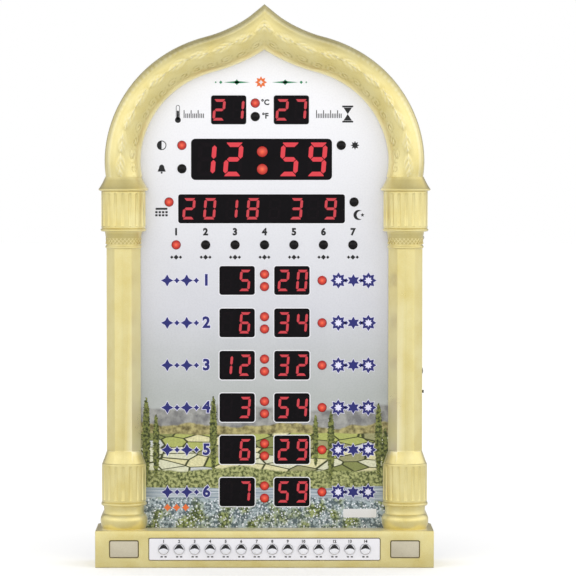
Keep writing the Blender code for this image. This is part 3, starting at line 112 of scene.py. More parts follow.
# Arch centre line
APEX_Z = node_middle("screw_top").z
ARCH_RISE = APEX_Z - SPRING_Z
FOOT_INSET = 0.0005
SHOULDER_SPAN_SHARE = 0.38
SHOULDER_RISE_SHARE = 0.823
SHOULDER_SLOPE = math.radians(14.4)
POINT_SLOPE = math.radians(40)
FOOT_HANDLE_SHARES = (-0.056, 0.268)
LOWER_HANDLE_SHARE = 0.52
UPPER_HANDLE_SHARE = 0.14
POINT_HANDLE_SHARE = 0.12
PANEL_OVERLAP = 0.0035

# Plinth front
PLINTH_HALF_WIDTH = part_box("front_case")[1].x
KEY_Z = node_middle("key_01").z
KEY_RADIUS = 0.0036
KEY_HOLE_RADIUS = KEY_RADIUS + FIT
KEY_COUNT = 14
KEY_NODES = [f"key_{number:02d}" for number in range(1, KEY_COUNT + 1)]

# Displays
ROW_COUNT = 6
ROWS = range(1, ROW_COUNT + 1)
WEEKDAY_COUNT = 7
LED_RADIUS = 0.00305


# ---------------------------------------------------------------- colours


def shade(red, green, blue):
    """A colour given in display values from 0 to 255, as linear values."""
    linear = []
    for value in (red, green, blue):
        share = value / 255
        linear.append(share / 12.92 if share <= 0.04045 else ((share + 0.055) / 1.055) ** 2.4)
    return tuple(linear)


def colour_property(name, description, values):
    return bpy.props.FloatVectorProperty(
        name=name, description=description, subtype="COLOR", size=3, min=0, max=1, default=shade(*values)
    )


def length_property(name, description, value):
    return bpy.props.FloatProperty(
        name=name, description=description, subtype="DISTANCE", unit="LENGTH", min=0, precision=5, default=value
    )


# ---------------------------------------------------------------- modelling by hand, in code


def deselect_all():
    if bpy.context.mode != "OBJECT":
        bpy.ops.object.mode_set(mode="OBJECT")
    bpy.ops.object.select_all(action="DESELECT")


def activate(*pieces):
    """Selects only these pieces. The first is the active one."""
    deselect_all()
    for piece in pieces:
        piece.select_set(True)
    bpy.context.view_layer.objects.active = pieces[0]


@contextlib.contextmanager
def editing(piece, kind="VERT"):
    """Edit mode on one piece, with nothing selected in it."""
    activate(piece)
    bpy.ops.object.mode_set(mode="EDIT")
    bpy.ops.mesh.select_mode(type=kind)
    bpy.ops.mesh.select_all(action="DESELECT")
    yield
    bpy.ops.object.mode_set(mode="OBJECT")


def pick(piece, test):
    """Selects, in edit mode, only the elements of the current kind whose middle passes the test."""
    bpy.ops.mesh.select_all(action="DESELECT")
    shape = bmesh.from_edit_mesh(piece.data)
    by_vertex, by_edge, by_face = bpy.context.tool_settings.mesh_select_mode
    elements = shape.verts if by_vertex else shape.edges if by_edge else shape.faces
    for element in elements:
        corners = [element] if by_vertex else list(element.verts)
        middle = sum((corner.co for corner in corners), Vector()) / len(corners)
        if test(middle):
            element.select_set(True)
    shape.select_flush_mode()
    bmesh.update_edit_mesh(piece.data)


def pick_edges(piece, test):
    """Selects, in edit mode, the edges whose two ends pass the test."""
    bpy.ops.mesh.select_all(action="DESELECT")
    shape = bmesh.from_edit_mesh(piece.data)
    for edge in shape.edges:
        if test(edge.verts[0].co, edge.verts[1].co):
            edge.select_set(True)
    bmesh.update_edit_mesh(piece.data)


def place_in_mesh(piece):
    """Moves the piece's place, turn and scale into its mesh."""
    activate(piece)
    bpy.ops.object.transform_apply(location=True, rotation=True, scale=True)


def extrude(offset):
    bpy.ops.mesh.extrude_region_move(TRANSFORM_OT_translate={"value": offset})


def draw(name, points, filled=True, closed=False):
    """A flat face, or a wire, drawn point by point. A closed wire is a loop."""
    deselect_all()
    points = [Vector(point) for point in points]
    bpy.ops.mesh.primitive_plane_add(size=SEED, location=points[0])
    piece = bpy.context.object
    piece.name = name
    with editing(piece):
        bpy.ops.mesh.select_all(action="SELECT")
        bpy.ops.mesh.merge(type="CENTER")
        for before, after in zip(points, points[1:]):
            bpy.ops.mesh.extrude_vertices_move(TRANSFORM_OT_translate={"value": after - before})
        if closed:
            bpy.ops.mesh.select_all(action="DESELECT")
            shape = bmesh.from_edit_mesh(piece.data)
            shape.verts.ensure_lookup_table()
            shape.verts[0].select_set(True)
            shape.verts[-1].select_set(True)
            bpy.ops.mesh.edge_face_add()
        if filled:
            bpy.ops.mesh.select_all(action="SELECT")
            bpy.ops.mesh.edge_face_add()
    place_in_mesh(piece)
    return piece


def face_outwards(piece):
    """Merges doubles and turns every face outwards."""
    with editing(piece):
        bpy.ops.mesh.select_all(action="SELECT")
        bpy.ops.mesh.remove_doubles(threshold=MERGE_DISTANCE)
        bpy.ops.mesh.normals_make_consistent(inside=False)


def plate(name, outline, front_y, back_y):
    """A flat outline of (x, z) points, as a plate between two depths."""
    piece = draw(name, [(x, front_y, z) for x, z in outline])
    with editing(piece):
        bpy.ops.mesh.select_all(action="SELECT")
        extrude((0, back_y - front_y, 0))
    face_outwards(piece)
    return piece


def turned(name, profile, x, z, steps=32):
    """A profile of (radius, y) points, from the axis to the axis, turned about a line along Y."""
    piece = draw(name, [(x + radius, y, z) for radius, y in profile], filled=False)
    with editing(piece):
        bpy.ops.mesh.select_all(action="SELECT")
        bpy.ops.mesh.spin(steps=steps, angle=math.tau, center=(x, 0, z), axis=(0, 1, 0))
    face_outwards(piece)
    return piece


def turned_upright(name, profile, x, y, steps=20):
    """A profile of (radius, z) points, from the axis to the axis, turned about an upright line."""
    piece = draw(name, [(x + radius, y, z) for radius, z in profile], filled=False)
    with editing(piece):
        bpy.ops.mesh.select_all(action="SELECT")
        bpy.ops.mesh.spin(steps=steps, angle=math.tau, center=(x, y, 0), axis=(0, 0, 1))
    face_outwards(piece)
    return piece


def turned_sideways(name, profile, y, z, steps=24):
    """A profile of (radius, x) points, from the axis to the axis, turned about a line along X."""
    piece = turned(name, profile, 0, 0, steps)
    activate(piece)
    bpy.ops.transform.rotate(value=math.pi / 2, orient_axis="Z", center_override=(0, 0, 0))
    place_in_mesh(piece)
    if max(vertex.co.x for vertex in piece.data.vertices) < SEED:
        bpy.ops.transform.rotate(value=math.pi, orient_axis="Z", center_override=(0, 0, 0))
        place_in_mesh(piece)
    piece.location = (0, y, z)
    place_in_mesh(piece)
    return piece


def fan_out(piece, centre, count, pitch):
    """Copies a form, inside its own mesh, in an even fan about an upright axis. It starts in the middle."""
    half = pitch * (count - 1) / 2
    activate(piece)
    bpy.ops.transform.rotate(value=half, orient_axis="Z", center_override=centre)
    place_in_mesh(piece)
    middle_x = sum(vertex.co.x for vertex in piece.data.vertices) / len(piece.data.vertices)
    turn = 2 * half * (-1 if middle_x < centre[0] else 1)
    with editing(piece):
        bpy.ops.mesh.select_all(action="SELECT")
        bpy.ops.mesh.spin(steps=count - 1, angle=turn, center=centre, axis=(0, 0, 1), dupli=True)
        bpy.ops.mesh.select_all(action="SELECT")
        bpy.ops.mesh.normals_make_consistent(inside=False)


def join(name, pieces):
    """Joins pieces into one."""
    activate(*pieces)
    bpy.ops.object.join()
    joined = bpy.context.object
    joined.name = name
    return joined


def apply_modifier(piece, kind, **settings):
    """Adds a modifier, sets it and applies it."""
    activate(piece)
    modifier = piece.modifiers.new(name=kind.title(), type=kind)
    for setting, value in settings.items():
        setattr(modifier, setting, value)
    bpy.ops.object.modifier_apply(modifier=modifier.name)


def combine(piece, other, operation):
    """A boolean with another piece, which is used up."""
    apply_modifier(piece, "BOOLEAN", operation=operation, solver="EXACT", object=other)
    data = other.data
    bpy.data.objects.remove(other)
    bpy.data.meshes.remove(data)


def bevel_edges(piece, width, angle=40, segments=2):
    """Rounds the edges that are sharper than an angle."""
    apply_modifier(
        piece,
        "BEVEL",
        width=width,
        segments=segments,
        limit_method="ANGLE",
        angle_limit=math.radians(angle),
        harden_normals=False,
    )


def duplicate(piece, name):
    """A copy of a piece with its own mesh."""
    activate(piece)
    bpy.ops.object.duplicate()
    copy = bpy.context.object
    copy.name = name
    return copy


def finish_piece(piece, name, material=None, body="case", replaces=(), angle=SMOOTH_ANGLE):
    """Gives a finished piece its name, shading, material and body, and hides the CAD parts it replaces."""
    place_in_mesh(piece)
    bpy.ops.object.shade_smooth_by_angle(angle=angle)
    piece.name = name
    piece.data.name = name
    if material:
        piece.data.materials.clear()
        piece.data.materials.append(material)
    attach(piece, body)
    if replaces:
        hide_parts(*replaces)
    return piece


def rounded_rectangle(x, z, width, height, radius, steps=6):
    """Outline points of a rectangle with round corners."""
    points = []
    for quarter, (side, level) in enumerate(((1, 1), (-1, 1), (-1, -1), (1, -1))):
        centre_x = x + side * (width / 2 - radius)
        centre_z = z + level * (height / 2 - radius)
        for step in range(steps + 1):
            angle = math.pi / 2 * (quarter + step / steps)
            points.append((centre_x + radius * math.cos(angle), centre_z + radius * math.sin(angle)))
    return points


def circle(x, z, radius, steps=32):
    turns = [math.tau * step / steps for step in range(steps)]
    return [(x + radius * math.cos(turn), z + radius * math.sin(turn)) for turn in turns]


def star(x, z, radius, points=8, waist=0.5, turn=math.pi / 2):
    """Outline of a star, or of a diamond with four points."""
    outline = []
    for step in range(points * 2):
        reach = radius * (waist if step % 2 else 1)
        angle = turn + math.pi * step / points
        outline.append((x + reach * math.cos(angle), z + reach * math.sin(angle)))
    return outline


def softened(points, radius, steps=3):
    """A line whose inner corners are rounded."""
    line = [Vector(point) for point in points]
    rounded = [line[0]]
    for before, corner, after in zip(line, line[1:], line[2:]):
        back, on = before - corner, after - corner
        reach = min(radius, back.length * 0.45, on.length * 0.45)
        start, end = corner + back.normalized() * reach, corner + on.normalized() * reach
        for step in range(steps + 1):
            share = step / steps
            rounded.append(
                start * (1 - share) ** 2 + corner * 2 * share * (1 - share) + end * share**2
            )
    rounded.append(line[-1])
    return [tuple(point) for point in rounded]


def arc(centre, reach, start, end, steps):
    """Points on an ellipse about a centre, between two angles in degrees."""
    points = []
    for step in range(steps + 1):
        angle = math.radians(start + (end - start) * step / steps)
        points.append((centre[0] + reach[0] * math.cos(angle), centre[1] + reach[1] * math.sin(angle)))
    return points


def bezier(start, first, second, end, share):
    keep = 1 - share
    weights = (keep**3, 3 * keep**2 * share, 3 * keep * share**2, share**3)
    weighted = (weight * point for weight, point in zip(weights, (start, first, second, end)))
    return sum(weighted, Vector((0, 0)))


def arch_line(lower_steps=72, upper_steps=28):
    """Points (x, z) up the left half of the arch's centre line, from its foot to its point."""
    foot = Vector((-COLUMN_X + FOOT_INSET, SPRING_Z))
    apex = Vector((0, APEX_Z))
    shoulder = Vector((-COLUMN_X * SHOULDER_SPAN_SHARE, SPRING_Z + ARCH_RISE * SHOULDER_RISE_SHARE))
    level = Vector((math.cos(SHOULDER_SLOPE), math.sin(SHOULDER_SLOPE)))
    steep = Vector((math.cos(POINT_SLOPE), math.sin(POINT_SLOPE)))
    out_share, up_share = FOOT_HANDLE_SHARES
    foot_handle = foot + Vector((COLUMN_X * out_share, ARCH_RISE * up_share))
    lower_handle = shoulder - level * COLUMN_X * LOWER_HANDLE_SHARE
    upper_handle = shoulder + level * COLUMN_X * UPPER_HANDLE_SHARE
    point_handle = apex - steep * COLUMN_X * POINT_HANDLE_SHARE
    lower = [bezier(foot, foot_handle, lower_handle, shoulder, step / lower_steps) for step in range(lower_steps)]
    upper = [
        bezier(shoulder, upper_handle, point_handle, apex, step / upper_steps) for step in range(upper_steps + 1)
    ]
    return lower + upper


def arch_offset(reach):
    """The arch's line moved outwards by a reach, from the left foot over the point to the right foot."""
    line = arch_line()
    points = []
    for index, point in enumerate(line[:-1]):
        before = line[max(index - 1, 0)]
        along = (line[index + 1] - before).normalized()
        points.append(point + Vector((-along.y, along.x)) * reach)
    points.append(line[-1] + Vector((0, reach / math.cos(POINT_SLOPE))))
    left = [point for point in points[:-1] if point.x < -SEED]
    return left + [points[-1]] + [Vector((-point.x, point.y)) for point in reversed(left)]


# ---------------------------------------------------------------- materials


def add_node(tree, kind, values=None, **settings):
    """A shader node with its settings and the values of its inputs."""
    node = tree.nodes.new(kind)
    for setting, value in settings.items():
        setattr(node, setting, value)
    for name, value in (values or {}).items():
        node.inputs[name].default_value = value
    return node


def math_node(tree, operation, first, second=None, clamp=False):
    """A math node whose inputs are sockets or numbers. Gives its output."""
    node = tree.nodes.new("ShaderNodeMath")
    node.operation = operation
    node.use_clamp = clamp
    for socket, value in zip(node.inputs, (first, second)):
        if isinstance(value, bpy.types.NodeSocket):
            tree.links.new(value, socket)
        elif value is not None:
            socket.default_value = value
    return node.outputs[0]


def mix_colours(tree, share, first, second, blend="MIX"):
    """A colour mix whose inputs are sockets, colours or numbers. Gives its output."""
    node = tree.nodes.new("ShaderNodeMix")
    node.data_type = "RGBA"
    node.blend_type = blend
    for name, value in (("Factor", share), ("A", first), ("B", second)):
        socket = next(item for item in node.inputs if item.name == name and item.enabled)
        if isinstance(value, bpy.types.NodeSocket):
            tree.links.new(value, socket)
        elif isinstance(value, (int, float)):
            socket.default_value = value
        else:
            socket.default_value = (*value, 1)
    return next(item for item in node.outputs if item.enabled)


def map_range(tree, value, low, high, new_low=0.0, new_high=1.0, smooth=False):
    """Maps a value from one range to another."""
    node = tree.nodes.new("ShaderNodeMapRange")
    if smooth:
        node.interpolation_type = "SMOOTHSTEP"
    tree.links.new(value, node.inputs["Value"])
    for name, number in (("From Min", low), ("From Max", high), ("To Min", new_low), ("To Max", new_high)):
        node.inputs[name].default_value = number
    return node.outputs["Result"]


def colour_ramp(tree, value, stops, interpolation="LINEAR"):
    """A colour from (position, colour) stops."""
    node = tree.nodes.new("ShaderNodeValToRGB")
    node.color_ramp.interpolation = interpolation
    elements = node.color_ramp.elements
    while len(elements) < len(stops):
        elements.new(1.0)
    for element, (position, colour) in zip(elements, stops):
        element.position = position
        element.color = (*colour, 1)
    tree.links.new(value, node.inputs["Fac"])
    return node.outputs["Color"]


def noise(tree, vector, scale, detail=2.0, roughness=0.5):
    node = add_node(tree, "ShaderNodeTexNoise", {"Scale": scale, "Detail": detail, "Roughness": roughness})
    tree.links.new(vector, node.inputs["Vector"])
    return node.outputs["Fac"]


def new_group(name, inputs, outputs):
    """A node group with named sockets. Gives the tree, its input node and its output node."""
    tree = bpy.data.node_groups.new(name, "ShaderNodeTree")
    for socket_name, kind, value in inputs:
        socket = tree.interface.new_socket(name=socket_name, in_out="INPUT", socket_type=kind)
        if value is not None:
            socket.default_value = value
    for socket_name, kind in outputs:
        tree.interface.new_socket(name=socket_name, in_out="OUTPUT", socket_type=kind)
    return tree, tree.nodes.new("NodeGroupInput"), tree.nodes.new("NodeGroupOutput")


def surface_group():
    """Moulded and painted surfaces: cloudy colour, fine grain and uneven gloss."""
    name = "surface_variation"
    if name in bpy.data.node_groups:
        return bpy.data.node_groups[name]
    inputs = [
        ("Vector", "NodeSocketVector", None),
        ("Light Color", "NodeSocketColor", None),
        ("Dark Color", "NodeSocketColor", None),
        ("Patch Scale", "NodeSocketFloat", 40.0),
        ("Grain Scale", "NodeSocketFloat", 2500.0),
        ("Grain Share", "NodeSocketFloat", 0.3),
        ("Roughness Low", "NodeSocketFloat", 0.3),
        ("Roughness High", "NodeSocketFloat", 0.4),
    ]
    outputs = [
        ("Color", "NodeSocketColor"),
        ("Roughness", "NodeSocketFloat"),
        ("Height", "NodeSocketFloat"),
    ]
    tree, given, result = new_group(name, inputs, outputs)
    patches = add_node(tree, "ShaderNodeTexNoise", {"Detail": 3.0})
    grain = add_node(tree, "ShaderNodeTexNoise", {"Detail": 1.0})
    for texture, scale in ((patches, "Patch Scale"), (grain, "Grain Scale")):
        tree.links.new(given.outputs["Vector"], texture.inputs["Vector"])
        tree.links.new(given.outputs[scale], texture.inputs["Scale"])
    cloud = map_range(tree, patches.outputs["Fac"], 0.3, 0.7)
    speck = map_range(tree, grain.outputs["Fac"], 0.35, 0.65)
    keep = math_node(tree, "SUBTRACT", 1.0, given.outputs["Grain Share"])
    mixed = math_node(
        tree,
        "ADD",
        math_node(tree, "MULTIPLY", cloud, keep),
        math_node(tree, "MULTIPLY", speck, given.outputs["Grain Share"]),
    )
    colour = mix_colours(tree, mixed, given.outputs["Dark Color"], given.outputs["Light Color"])
    tree.links.new(colour, result.inputs["Color"])
    spread = math_node(tree, "SUBTRACT", given.outputs["Roughness High"], given.outputs["Roughness Low"])
    rough = math_node(tree, "ADD", given.outputs["Roughness Low"], math_node(tree, "MULTIPLY", spread, mixed))
    tree.links.new(rough, result.inputs["Roughness"])
    tree.links.new(grain.outputs["Fac"], result.inputs["Height"])
    return tree


def start_material(name, **sockets):
    """A material with its shader's fixed sockets set. Gives material, tree, shader and Object coordinates."""
    material = bpy.data.materials.new(name)
    material.use_nodes = True
    tree = material.node_tree
    shader = tree.nodes["Principled BSDF"]
    for socket, value in sockets.items():
        shader.inputs[socket.replace("_", " ")].default_value = value
    coordinates = add_node(tree, "ShaderNodeTexCoord")
    return material, tree, shader, coordinates.outputs["Object"]


def moulded_material(
    name, light, dark, roughness, patch=40.0, grain=2500.0, grain_share=0.3, bump=0.0, bump_depth=0.00002, **sockets
):
    """A material that takes colour, gloss and fine relief from the surface group."""
    material, tree, shader, place = start_material(name, **sockets)
    surface = add_node(
        tree,
        "ShaderNodeGroup",
        node_tree=surface_group(),
    )
    values = {
        "Light Color": (*light, 1),
        "Dark Color": (*dark, 1),
        "Patch Scale": patch,
        "Grain Scale": grain,
        "Grain Share": grain_share,
        "Roughness Low": roughness[0],
        "Roughness High": roughness[1],
    }
    for socket, value in values.items():
        surface.inputs[socket].default_value = value
    tree.links.new(place, surface.inputs["Vector"])
    tree.links.new(surface.outputs["Color"], shader.inputs["Base Color"])
    tree.links.new(surface.outputs["Roughness"], shader.inputs["Roughness"])
    if bump:
        relief = add_node(tree, "ShaderNodeBump", {"Strength": bump, "Distance": bump_depth})
        tree.links.new(surface.outputs["Height"], relief.inputs["Height"])
        tree.links.new(relief.outputs["Normal"], shader.inputs["Normal"])
    return material


def gold_material(name="champagne_gold"):
    """Pearly gold paint. The relief attribute darkens the hollows with painted shade, on the capital partly also a
    deeper paint tone, and lightens the crests with a painted highlight.
    """
    if name in bpy.data.materials:
        return bpy.data.materials[name]
    look = bpy.context.scene.clock_case
    material, tree, shader, place = start_material(
        name, Metallic=0.74, Coat_Weight=0.3, Coat_Roughness=0.14, Sheen_Weight=0.45, Sheen_Roughness=0.35
    )
    surface = add_node(tree, "ShaderNodeGroup", node_tree=surface_group())
    values = {
        "Light Color": (*look.light_gold, 1),
        "Dark Color": (*look.dark_gold, 1),
        "Patch Scale": 55.0,
        "Grain Scale": 3200.0,
        "Grain Share": 0.35,
        "Roughness Low": 0.27,
        "Roughness High": 0.4,
    }
    for socket, value in values.items():
        surface.inputs[socket].default_value = value
    tree.links.new(place, surface.inputs["Vector"])
    relief = add_node(tree, "ShaderNodeAttribute", attribute_name="relief")
    # Painted shade in the hollows and a painted highlight on the crests, read from the relief attribute.
    hollow = map_range(tree, relief.outputs["Fac"], -0.7, 0.0, 0.55, 0.0)
    highlight_share = map_range(tree, relief.outputs["Fac"], 0.1, 0.9, 0.0, 0.6)
    with_hollow_shade = mix_colours(tree, hollow, surface.outputs["Color"], look.hollow_gold)
    high = mix_colours(tree, highlight_share, with_hollow_shade, look.crest_gold)
    tree.links.new(high, shader.inputs["Base Color"])
    tree.links.new(surface.outputs["Roughness"], shader.inputs["Roughness"])
    bump = add_node(tree, "ShaderNodeBump", {"Strength": 0.25, "Distance": 0.00002})
    tree.links.new(surface.outputs["Height"], bump.inputs["Height"])
    tree.links.new(bump.outputs["Normal"], shader.inputs["Normal"])
    return material


def ridge_mask(tree, x, z, level, rise, scale, offset, softness=0.0006, detail=2.0):
    """1 below a rolling line at a level, 0 above it. Offset moves along the noise."""
    position = add_node(tree, "ShaderNodeCombineXYZ", {"Y": offset})
    tree.links.new(x, position.inputs["X"])
    rolling = noise(tree, position.outputs["Vector"], scale, detail)
    line = math_node(tree, "ADD", math_node(tree, "MULTIPLY", math_node(tree, "SUBTRACT", rolling, 0.5), rise), level)
    return map_range(tree, math_node(tree, "SUBTRACT", line, z), -softness, softness)


SLENDER_TREES = (
    (-0.0845, 0.058, 0.062, 0.006),
    (-0.0775, 0.062, 0.046, 0.005),
    (-0.0365, 0.066, 0.055, 0.0055),
    (0.0365, 0.07, 0.038, 0.0045),
    (0.0475, 0.06, 0.05, 0.0055),
    (0.0815, 0.064, 0.052, 0.0055),
    (0.0862, 0.058, 0.04, 0.005),
)


def tree_mask_group():
    """1 inside the crown of a slender tree: narrow at its foot and its tip, with a ragged edge."""
    name = "slender_tree"
    if name in bpy.data.node_groups:
        return bpy.data.node_groups[name]
    numbers = ("X", "Z", "Position", "Base", "Height", "Width")
    inputs = [("Vector", "NodeSocketVector", None)] + [(number, "NodeSocketFloat", 0.0) for number in numbers]
    tree, given, result = new_group(name, inputs, [("Mask", "NodeSocketFloat")])
    sockets = given.outputs
    rise = math_node(tree, "DIVIDE", math_node(tree, "SUBTRACT", sockets["Z"], sockets["Base"]), sockets["Height"])
    belly = math_node(tree, "MULTIPLY", rise, math_node(tree, "SUBTRACT", 1.0, rise))
    belly = math_node(tree, "SQRT", math_node(tree, "MAXIMUM", belly, 0.0))
    reach = math_node(tree, "MULTIPLY", belly, sockets["Width"])
    away = math_node(tree, "ABSOLUTE", math_node(tree, "SUBTRACT", sockets["X"], sockets["Position"]))
    ragged = map_range(tree, noise(tree, sockets["Vector"], 900.0, 3.0), 0.3, 0.7, -0.0006, 0.0006)
    room = math_node(tree, "SUBTRACT", math_node(tree, "SUBTRACT", reach, away), ragged)
    inside = math_node(tree, "GREATER_THAN", belly, 0.02)
    mask = math_node(tree, "MULTIPLY", map_range(tree, room, 0.0, 0.0003), inside)
    tree.links.new(mask, result.inputs["Mask"])
    return tree


def panel_material():
    """Glossy printed sheet: silver sky, and a landscape of hills, fields, a lake and a meadow."""
    look = bpy.context.scene.clock_face
    material, tree, shader, place = start_material(
        "printed_panel", Metallic=0.0, Coat_Weight=0.15, Coat_Roughness=0.08, Specular_IOR_Level=0.25
    )
    parts = add_node(tree, "ShaderNodeSeparateXYZ")
    tree.links.new(place, parts.inputs["Vector"])
    x, z = parts.outputs["X"], parts.outputs["Z"]
    between = tuple((low + high) / 2 for low, high in zip(look.low_sky, look.haze))
    heights = ((0.12, look.haze), (0.155, between), (0.18, look.low_sky), (0.34, look.high_sky))
    sky = colour_ramp(tree, map_range(tree, z, 0.0, 0.4), [(level / 0.4, tone) for level, tone in heights])
    haze = map_range(tree, noise(tree, place, 26.0, 3.0), 0.4, 0.75, 0.0, 0.1)
    colour = mix_colours(tree, haze, sky, look.high_sky)

    # Hills, from the farthest to the nearest
    far = ridge_mask(tree, x, z, 0.112, 0.03, 22.0, 1.3, 0.0009, 4.0)
    far_tone = mix_colours(
        tree, map_range(tree, noise(tree, place, 160.0, 4.0), 0.35, 0.65), shade(112, 112, 112), shade(156, 156, 152)
    )
    colour = mix_colours(tree, far, colour, far_tone)
    near = ridge_mask(tree, x, z, 0.1, 0.022, 30.0, 5.1, 0.0006, 4.0)
    near_tone = mix_colours(
        tree, map_range(tree, noise(tree, place, 260.0, 4.0), 0.35, 0.65), shade(98, 90, 56), shade(176, 166, 112)
    )
    colour = mix_colours(tree, near, colour, near_tone)

    # Fields between hedges
    terrace = ridge_mask(tree, x, z, 0.094, 0.01, 18.0, 9.7, 0.0004)
    stretched = add_node(tree, "ShaderNodeMapping", {"Rotation": (0.0, 0.35, 0.0), "Scale": (0.55, 1.0, 1.5)})
    tree.links.new(place, stretched.inputs["Vector"])
    cells = []
    for feature in ("F1", "DISTANCE_TO_EDGE"):
        cell = add_node(tree, "ShaderNodeTexVoronoi", {"Scale": 120.0, "Randomness": 0.9}, feature=feature)
        tree.links.new(stretched.outputs["Vector"], cell.inputs["Vector"])
        cells.append(cell)
    tone = add_node(tree, "ShaderNodeSeparateColor")
    tree.links.new(cells[0].outputs["Color"], tone.inputs["Color"])
    crops = (
        (0.0, shade(214, 214, 186)), (0.22, shade(170, 176, 98)), (0.4, shade(200, 203, 202)),
        (0.55, shade(128, 134, 78)), (0.68, shade(218, 212, 166)), (0.84, shade(152, 150, 108)),
    )
    fields = colour_ramp(tree, tone.outputs["Red"], crops, "CONSTANT")
    rough_ground = map_range(tree, noise(tree, place, 700.0, 4.0), 0.35, 0.65, 0.0, 0.3)
    fields = mix_colours(tree, rough_ground, fields, shade(96, 98, 60))
    hedges = map_range(tree, cells[1].outputs["Distance"], 0.03, 0.07, 1.0, 0.0)
    fields = mix_colours(tree, hedges, fields, shade(58, 62, 32))
    colour = mix_colours(tree, terrace, colour, fields)

    # Woods along a lake with level streaks
    woods = ridge_mask(tree, x, z, 0.068, 0.012, 24.0, 3.3, 0.0006, 4.0)
    leaves = map_range(tree, noise(tree, place, 480.0, 5.0), 0.4, 0.6)
    colour = mix_colours(tree, woods, colour, mix_colours(tree, leaves, shade(74, 82, 42), shade(166, 170, 112)))
    lake = ridge_mask(tree, x, z, 0.056, 0.01, 11.0, 4.6, 0.0003)
    streaks = add_node(tree, "ShaderNodeMapping", {"Scale": (26.0, 1.0, 900.0)})
    tree.links.new(place, streaks.inputs["Vector"])
    ripple = map_range(tree, noise(tree, streaks.outputs["Vector"], 1.0, 3.0), 0.38, 0.62)
    colour = mix_colours(tree, lake, colour, mix_colours(tree, ripple, shade(112, 128, 142), shade(186, 194, 200)))

    # Meadow of flowers
    meadow = ridge_mask(tree, x, z, 0.046, 0.012, 26.0, 7.9, 0.0008, 4.0)
    tufts = map_range(tree, noise(tree, place, 560.0, 5.0), 0.44, 0.56)
    ground = mix_colours(tree, tufts, shade(84, 98, 104), shade(162, 176, 182))
    green = map_range(tree, noise(tree, place, 70.0, 2.0), 0.5, 0.62)
    ground = mix_colours(tree, green, ground, mix_colours(tree, tufts, shade(70, 82, 46), shade(150, 160, 104)))
    petals = add_node(tree, "ShaderNodeTexVoronoi", {"Scale": 520.0}, feature="F1")
    tree.links.new(place, petals.inputs["Vector"])
    bloom = map_range(tree, petals.outputs["Distance"], 0.22, 0.36, 1.0, 0.0)
    colour = mix_colours(tree, meadow, colour, mix_colours(tree, bloom, ground, shade(220, 224, 232)))

    # Slender trees
    crowns = None
    for position, base, height, width in SLENDER_TREES:
        sprout = add_node(tree, "ShaderNodeGroup", node_tree=tree_mask_group())
        for name, socket in (("X", x), ("Z", z), ("Vector", place)):
            tree.links.new(socket, sprout.inputs[name])
        for name, value in (("Position", position), ("Base", base), ("Height", height), ("Width", width)):
            sprout.inputs[name].default_value = value
        mask = sprout.outputs["Mask"]
        crowns = math_node(tree, "MAXIMUM", crowns, mask) if crowns else mask
    colour = mix_colours(tree, crowns, colour, mix_colours(tree, leaves, shade(50, 58, 28), shade(122, 128, 68)))

    tree.links.new(colour, shader.inputs["Base Color"])
    gloss = map_range(tree, noise(tree, place, 900.0, 2.0), 0.3, 0.7, 0.24, 0.32)
    tree.links.new(gloss, shader.inputs["Roughness"])
    return material


def glow_material(name, rim, core, strength):
    """A lit diffuser that glows, from its rim colour to its core colour as the glow attribute says, with fine moulded
    grain. On the round lights the brighter core is a painted highlight over their own glow.
    """
    if name in bpy.data.materials:
        return bpy.data.materials[name]
    material, tree, shader, place = start_material(
        name, Coat_Weight=0.3, Coat_Roughness=0.1, Emission_Strength=strength
    )
    glow = add_node(tree, "ShaderNodeAttribute", attribute_name="glow")
    grain = map_range(tree, noise(tree, place, 2600.0, 2.0), 0.3, 0.7, -0.08, 0.08)
    share = math_node(tree, "ADD", glow.outputs["Fac"], grain, clamp=True)
    colour = mix_colours(tree, share, rim, core)
    tree.links.new(colour, shader.inputs["Emission Color"])
    tree.links.new(mix_colours(tree, 0.75, colour, shade(24, 6, 8)), shader.inputs["Base Color"])
    tree.links.new(map_range(tree, grain, -0.08, 0.08, 0.3, 0.42), shader.inputs["Roughness"])
    return material


# ---------------------------------------------------------------- settings


class CaseSettings(bpy.types.PropertyGroup):
    """Sizes and colours of the gold case."""

    light_gold: colour_property("Light gold", "Brighter tone of the pearly paint", (247, 236, 176))
    dark_gold: colour_property("Dark gold", "Deeper tone of the pearly paint", (234, 215, 134))
    # Crest gold is a painted highlight; hollow gold is painted shade, on the capital partly also a deeper paint tone.
    crest_gold: colour_property("Crest gold", "Tone on the crests of the ornament", (254, 248, 216))
    hollow_gold: colour_property("Hollow gold", "Tone in the hollows of the ornament", (150, 128, 52))
    flute_radius: length_property("Flute radius", "Radius of the hollow of each flute", 0.0017)
    flute_depth: length_property("Flute depth", "Depth of each flute in the drums", 0.0006)
    flute_count: bpy.props.IntProperty(name="Flutes", description="Flutes round each drum", min=2, default=9)
    flute_pitch: bpy.props.FloatProperty(
        name="Flute pitch", description="Angle between two flutes", subtype="ANGLE", default=math.radians(19.5)
    )
    band_low: length_property("Band foot", "Height of the foot of the neck's raised band", 0.2298)
    band_high: length_property("Band top", "Height of the top of the neck's raised band", 0.2342)
    band_rise: length_property("Band rise", "How far the band's bars stand out of the neck", 0.0003)
    bar_width: length_property("Bar width", "Width of each bar of the band", 0.0006)
    bar_count: bpy.props.IntProperty(name="Bars", description="Bars that lean each way", min=2, default=13)
    bar_pitch: bpy.props.FloatProperty(
        name="Bar pitch", description="Angle between two bars", subtype="ANGLE", default=math.radians(13)
    )
    relief_height: length_property("Relief height", "Height of the ornament on the arch", 0.00055)
    plinth_round: length_property("Plinth edge", "Radius of the plinth's edges", 0.0008)


